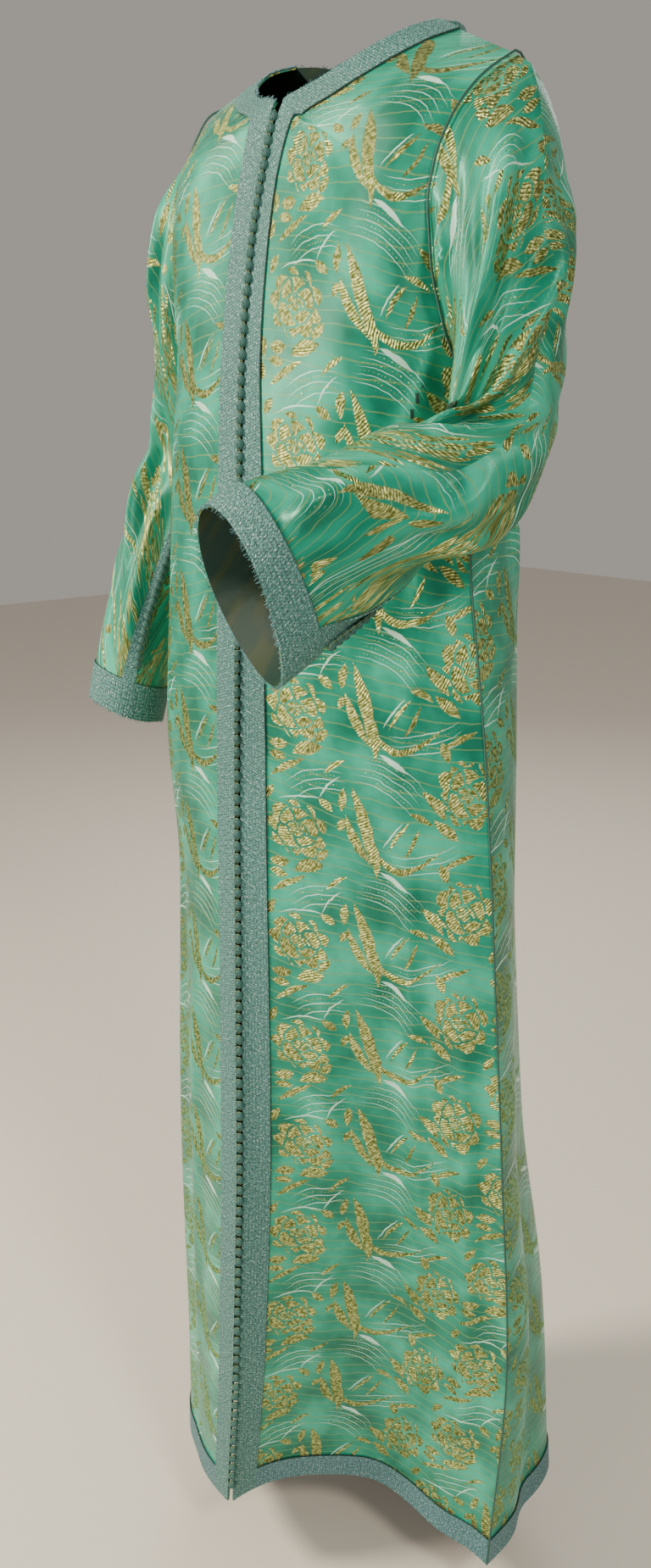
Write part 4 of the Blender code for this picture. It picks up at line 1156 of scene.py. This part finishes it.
knots = {
    "radius": 0.0040,
    "count": 122,
    "firstStep": 0.0092,
    "lastStep": 0.0124,
    "lift": 0.0026,
    "aside": 0.0014,  # they sit against the braid on the wearer's right
    "sleeveCount": 20,
    "sleeveStep": 0.0078,
    "sleeveLift": 0.0032,
    "height": 0.86,  # of a round one
    "ripple": 0.10,  # the turns of the cord, as a share of the radius
    "sway": 0.0003,
    "loop": 0.0042,  # half the length of the loop, and its reach across
    "loopLift": 0.0006,
    "loopThread": 0.00055,
    "feel": 0.002,  # how far each way the direction of the row is read
}


def knotRow(line, facing, steps, lift, loopSide):
    places = np.cumsum(steps) - steps[0]
    reach = reachOf(line)
    places = places + 0.25 * steps[0]
    places *= min(1, 0.99 * reach[-1] / places[-1])
    balls, loops = [], []
    for place in places:
        centre = atMarks(place, reach, line)
        ahead = atMarks(place + knots["feel"], reach, line)
        behind = atMarks(place - knots["feel"], reach, line)
        way = unit(ahead - behind)
        out = atMarks(place, reach, facing)
        out = unit(out - way * out.dot(way))
        swing = random.uniform(-knots["sway"], knots["sway"])
        side = np.cross(way, out)
        centre = centre + out * lift + side * (swing - loopSide * knots["aside"])
        balls.append(knotBall(centre, out, way, knots["radius"] * random.uniform(0.94, 1.05)))
        root = centre + out * knots["loopLift"]
        loops.append(loopData(root, out, way, loopSide * knots["loop"], knots["loop"]))
    return joined(balls), joined(loops)


leftEdge, rightEdge = fronts[0][below, 0], fronts[1][below, 0]
centreLine = (leftEdge + rightEdge) / 2
centreFacing = unit(normals["frontLeft"][below, 0] + normals["frontRight"][below, 0])
line, facing = resample(centreLine, centreFacing, trim["step"])
steps = np.linspace(knots["firstStep"], knots["lastStep"], knots["count"])
balls, loops = knotRow(line[2:-3], facing[2:-3], steps, knots["lift"], 1)
mend(makeMesh("frontKnots", balls, [finishes["knot"]]), "knots", "front_knots")
mend(makeMesh("frontLoops", loops, [finishes["loop"]]), "knots")
for side in ("Left", "Right"):
    name = "sleeve" + side
    turn = np.full(seamCount, seamBraid["turn"][side])
    line = ringLine(grids[name][0][seamRows], armholeEnd, turn)
    facing = unit(ringLine(normals[name][seamRows], armholeEnd, turn))
    steps = np.full(knots["sleeveCount"], knots["sleeveStep"])
    balls, loops = knotRow(line, facing, steps, knots["sleeveLift"], 1 if side == "Left" else -1)
    mend(makeMesh("sleeveKnots" + side, balls, [finishes["knot"]]), "knots", "sleeve_knots_" + side.lower())
    mend(makeMesh("sleeveLoops" + side, loops, [finishes["loop"]]), "knots")
print("knots made")


# loose thread ends along the neck band and both cuffs

frays = {
    "neck": 420,  # how many
    "sleeveLeft": 260,
    "sleeveRight": 120,
    "longest": 0.0035,
    "thread": 0.00022,
    "neckLift": 0.0009,
    "cuffLift": 0.0008,
}


def frayData(line, facing, outward, count):
    reach = reachOf(line)
    made = []
    for k in range(count):
        place = reach[-1] * random.random()
        root = atMarks(place, reach, line)
        out = unit(atMarks(place, reach, facing))
        way = unit(atMarks(place, reach, outward))
        lean = np.array([random.uniform(-0.8, 0.8) for i in range(3)])
        size = frays["longest"] * random.uniform(0.35, 1)
        tip = root + unit(way + lean * 0.6) * size
        middle = (root + tip) / 2 + out * size * random.uniform(-0.1, 0.3)
        points = np.array([root, middle, tip])
        made.append(cordData(points, np.tile(out, (3, 1)), frays["thread"], 3))
    return joined(made)


backNeck = slice(shoulder, shoulder + detail["neckColumns"] + 1)


def neckEdge(values):  # round the neck from the left notch to the right one
    return np.concatenate([values["frontLeft"][collar, 0][::-1], values["back"][0, backNeck],
                           values["frontRight"][collar, 0]])


neckLine = neckEdge({name: grids[name][0] for name in grids})
neckFacing = neckEdge(normals)
inward = unit(np.array([0, -0.02, 0.06]) - neckLine)
threads = [frayData(neckLine + neckFacing * frays["neckLift"], neckFacing, inward, frays["neck"])]
for name in ("sleeveLeft", "sleeveRight"):
    grid = grids[name][0]
    facing = normals[name][-1]
    root = grid[-1] + facing * frays["cuffLift"]
    threads.append(frayData(root, facing, unit(grid[-1] - grid[-2]), frays[name]))
mend(makeMesh("frayedEnds", joined(threads), [finishes["fray"]]), "braid")

for name, (wide, tall, area) in cut.items():
    mesh = panels[name].data
    print(name, "cloth area", round(sum(p.area for p in mesh.polygons) / 2, 3))

# room: pale floor, soft lights and the camera at the height of the chest
stage = {"floorDrop": -1.452, "floorSize": 14, "floor": "#E6DFD4", "wall": "#F0E8DE", "wallPower": 0.42}
bpy.ops.mesh.primitive_plane_add(size=stage["floorSize"], location=(0, 0, stage["floorDrop"]))
floor = bpy.context.object
floor.name = "floor"
paint, tree, shader = newFinish("paleFloor", 0.85)
shader.inputs["Base Color"].default_value = linear(stage["floor"])
floor.data.materials.append(paint)
world = bpy.data.worlds.new("softRoom")
bpy.context.scene.world = world
world.use_nodes = True
world.node_tree.nodes["Background"].inputs[0].default_value = linear(stage["wall"])
world.node_tree.nodes["Background"].inputs[1].default_value = stage["wallPower"]

lamps = (  # name, place, aim, size, power, colour
    ("keyLight", (-1.15, -1.95, 0.9), (0.0, 0.0, -0.35), 0.6, 104, "#FFF2DC"),
    ("sideLight", (2.2, -0.6, 1.2), (0.05, 0.0, -0.3), 0.5, 40, "#FFF8E4"),
    ("backLight", (-1.8, 1.9, 1.0), (0.0, 0.0, -0.5), 1.6, 24, "#FFFFFF"),
    ("lowLight", (0.5, -2.3, -0.7), (0.0, 0.0, -0.95), 0.8, 14, "#FFF8F0"),
)
for name, spot, aim, size, power, colour in lamps:
    lamp = bpy.data.lights.new(name, "AREA")
    lamp.shape, lamp.size, lamp.energy = "DISK", size, power
    lamp.color = linear(colour)[:3]
    made = bpy.data.objects.new(name, lamp)
    made.location = spot
    way = Vector(aim) - Vector(spot)
    made.rotation_euler = way.to_track_quat("-Z", "Y").to_euler()
    bpy.context.scene.collection.objects.link(made)

lens = bpy.data.cameras.new("camera")
lens.lens, lens.sensor_width, lens.sensor_fit = 28.26, 36, "AUTO"
lens.shift_x = -0.0465
camera = bpy.data.objects.new("camera", lens)
camera.location = (0.840, -0.723, -0.270)
camera.rotation_euler = (math.radians(73.5), 0, math.radians(48))
bpy.context.scene.collection.objects.link(camera)
bpy.context.scene.camera = camera
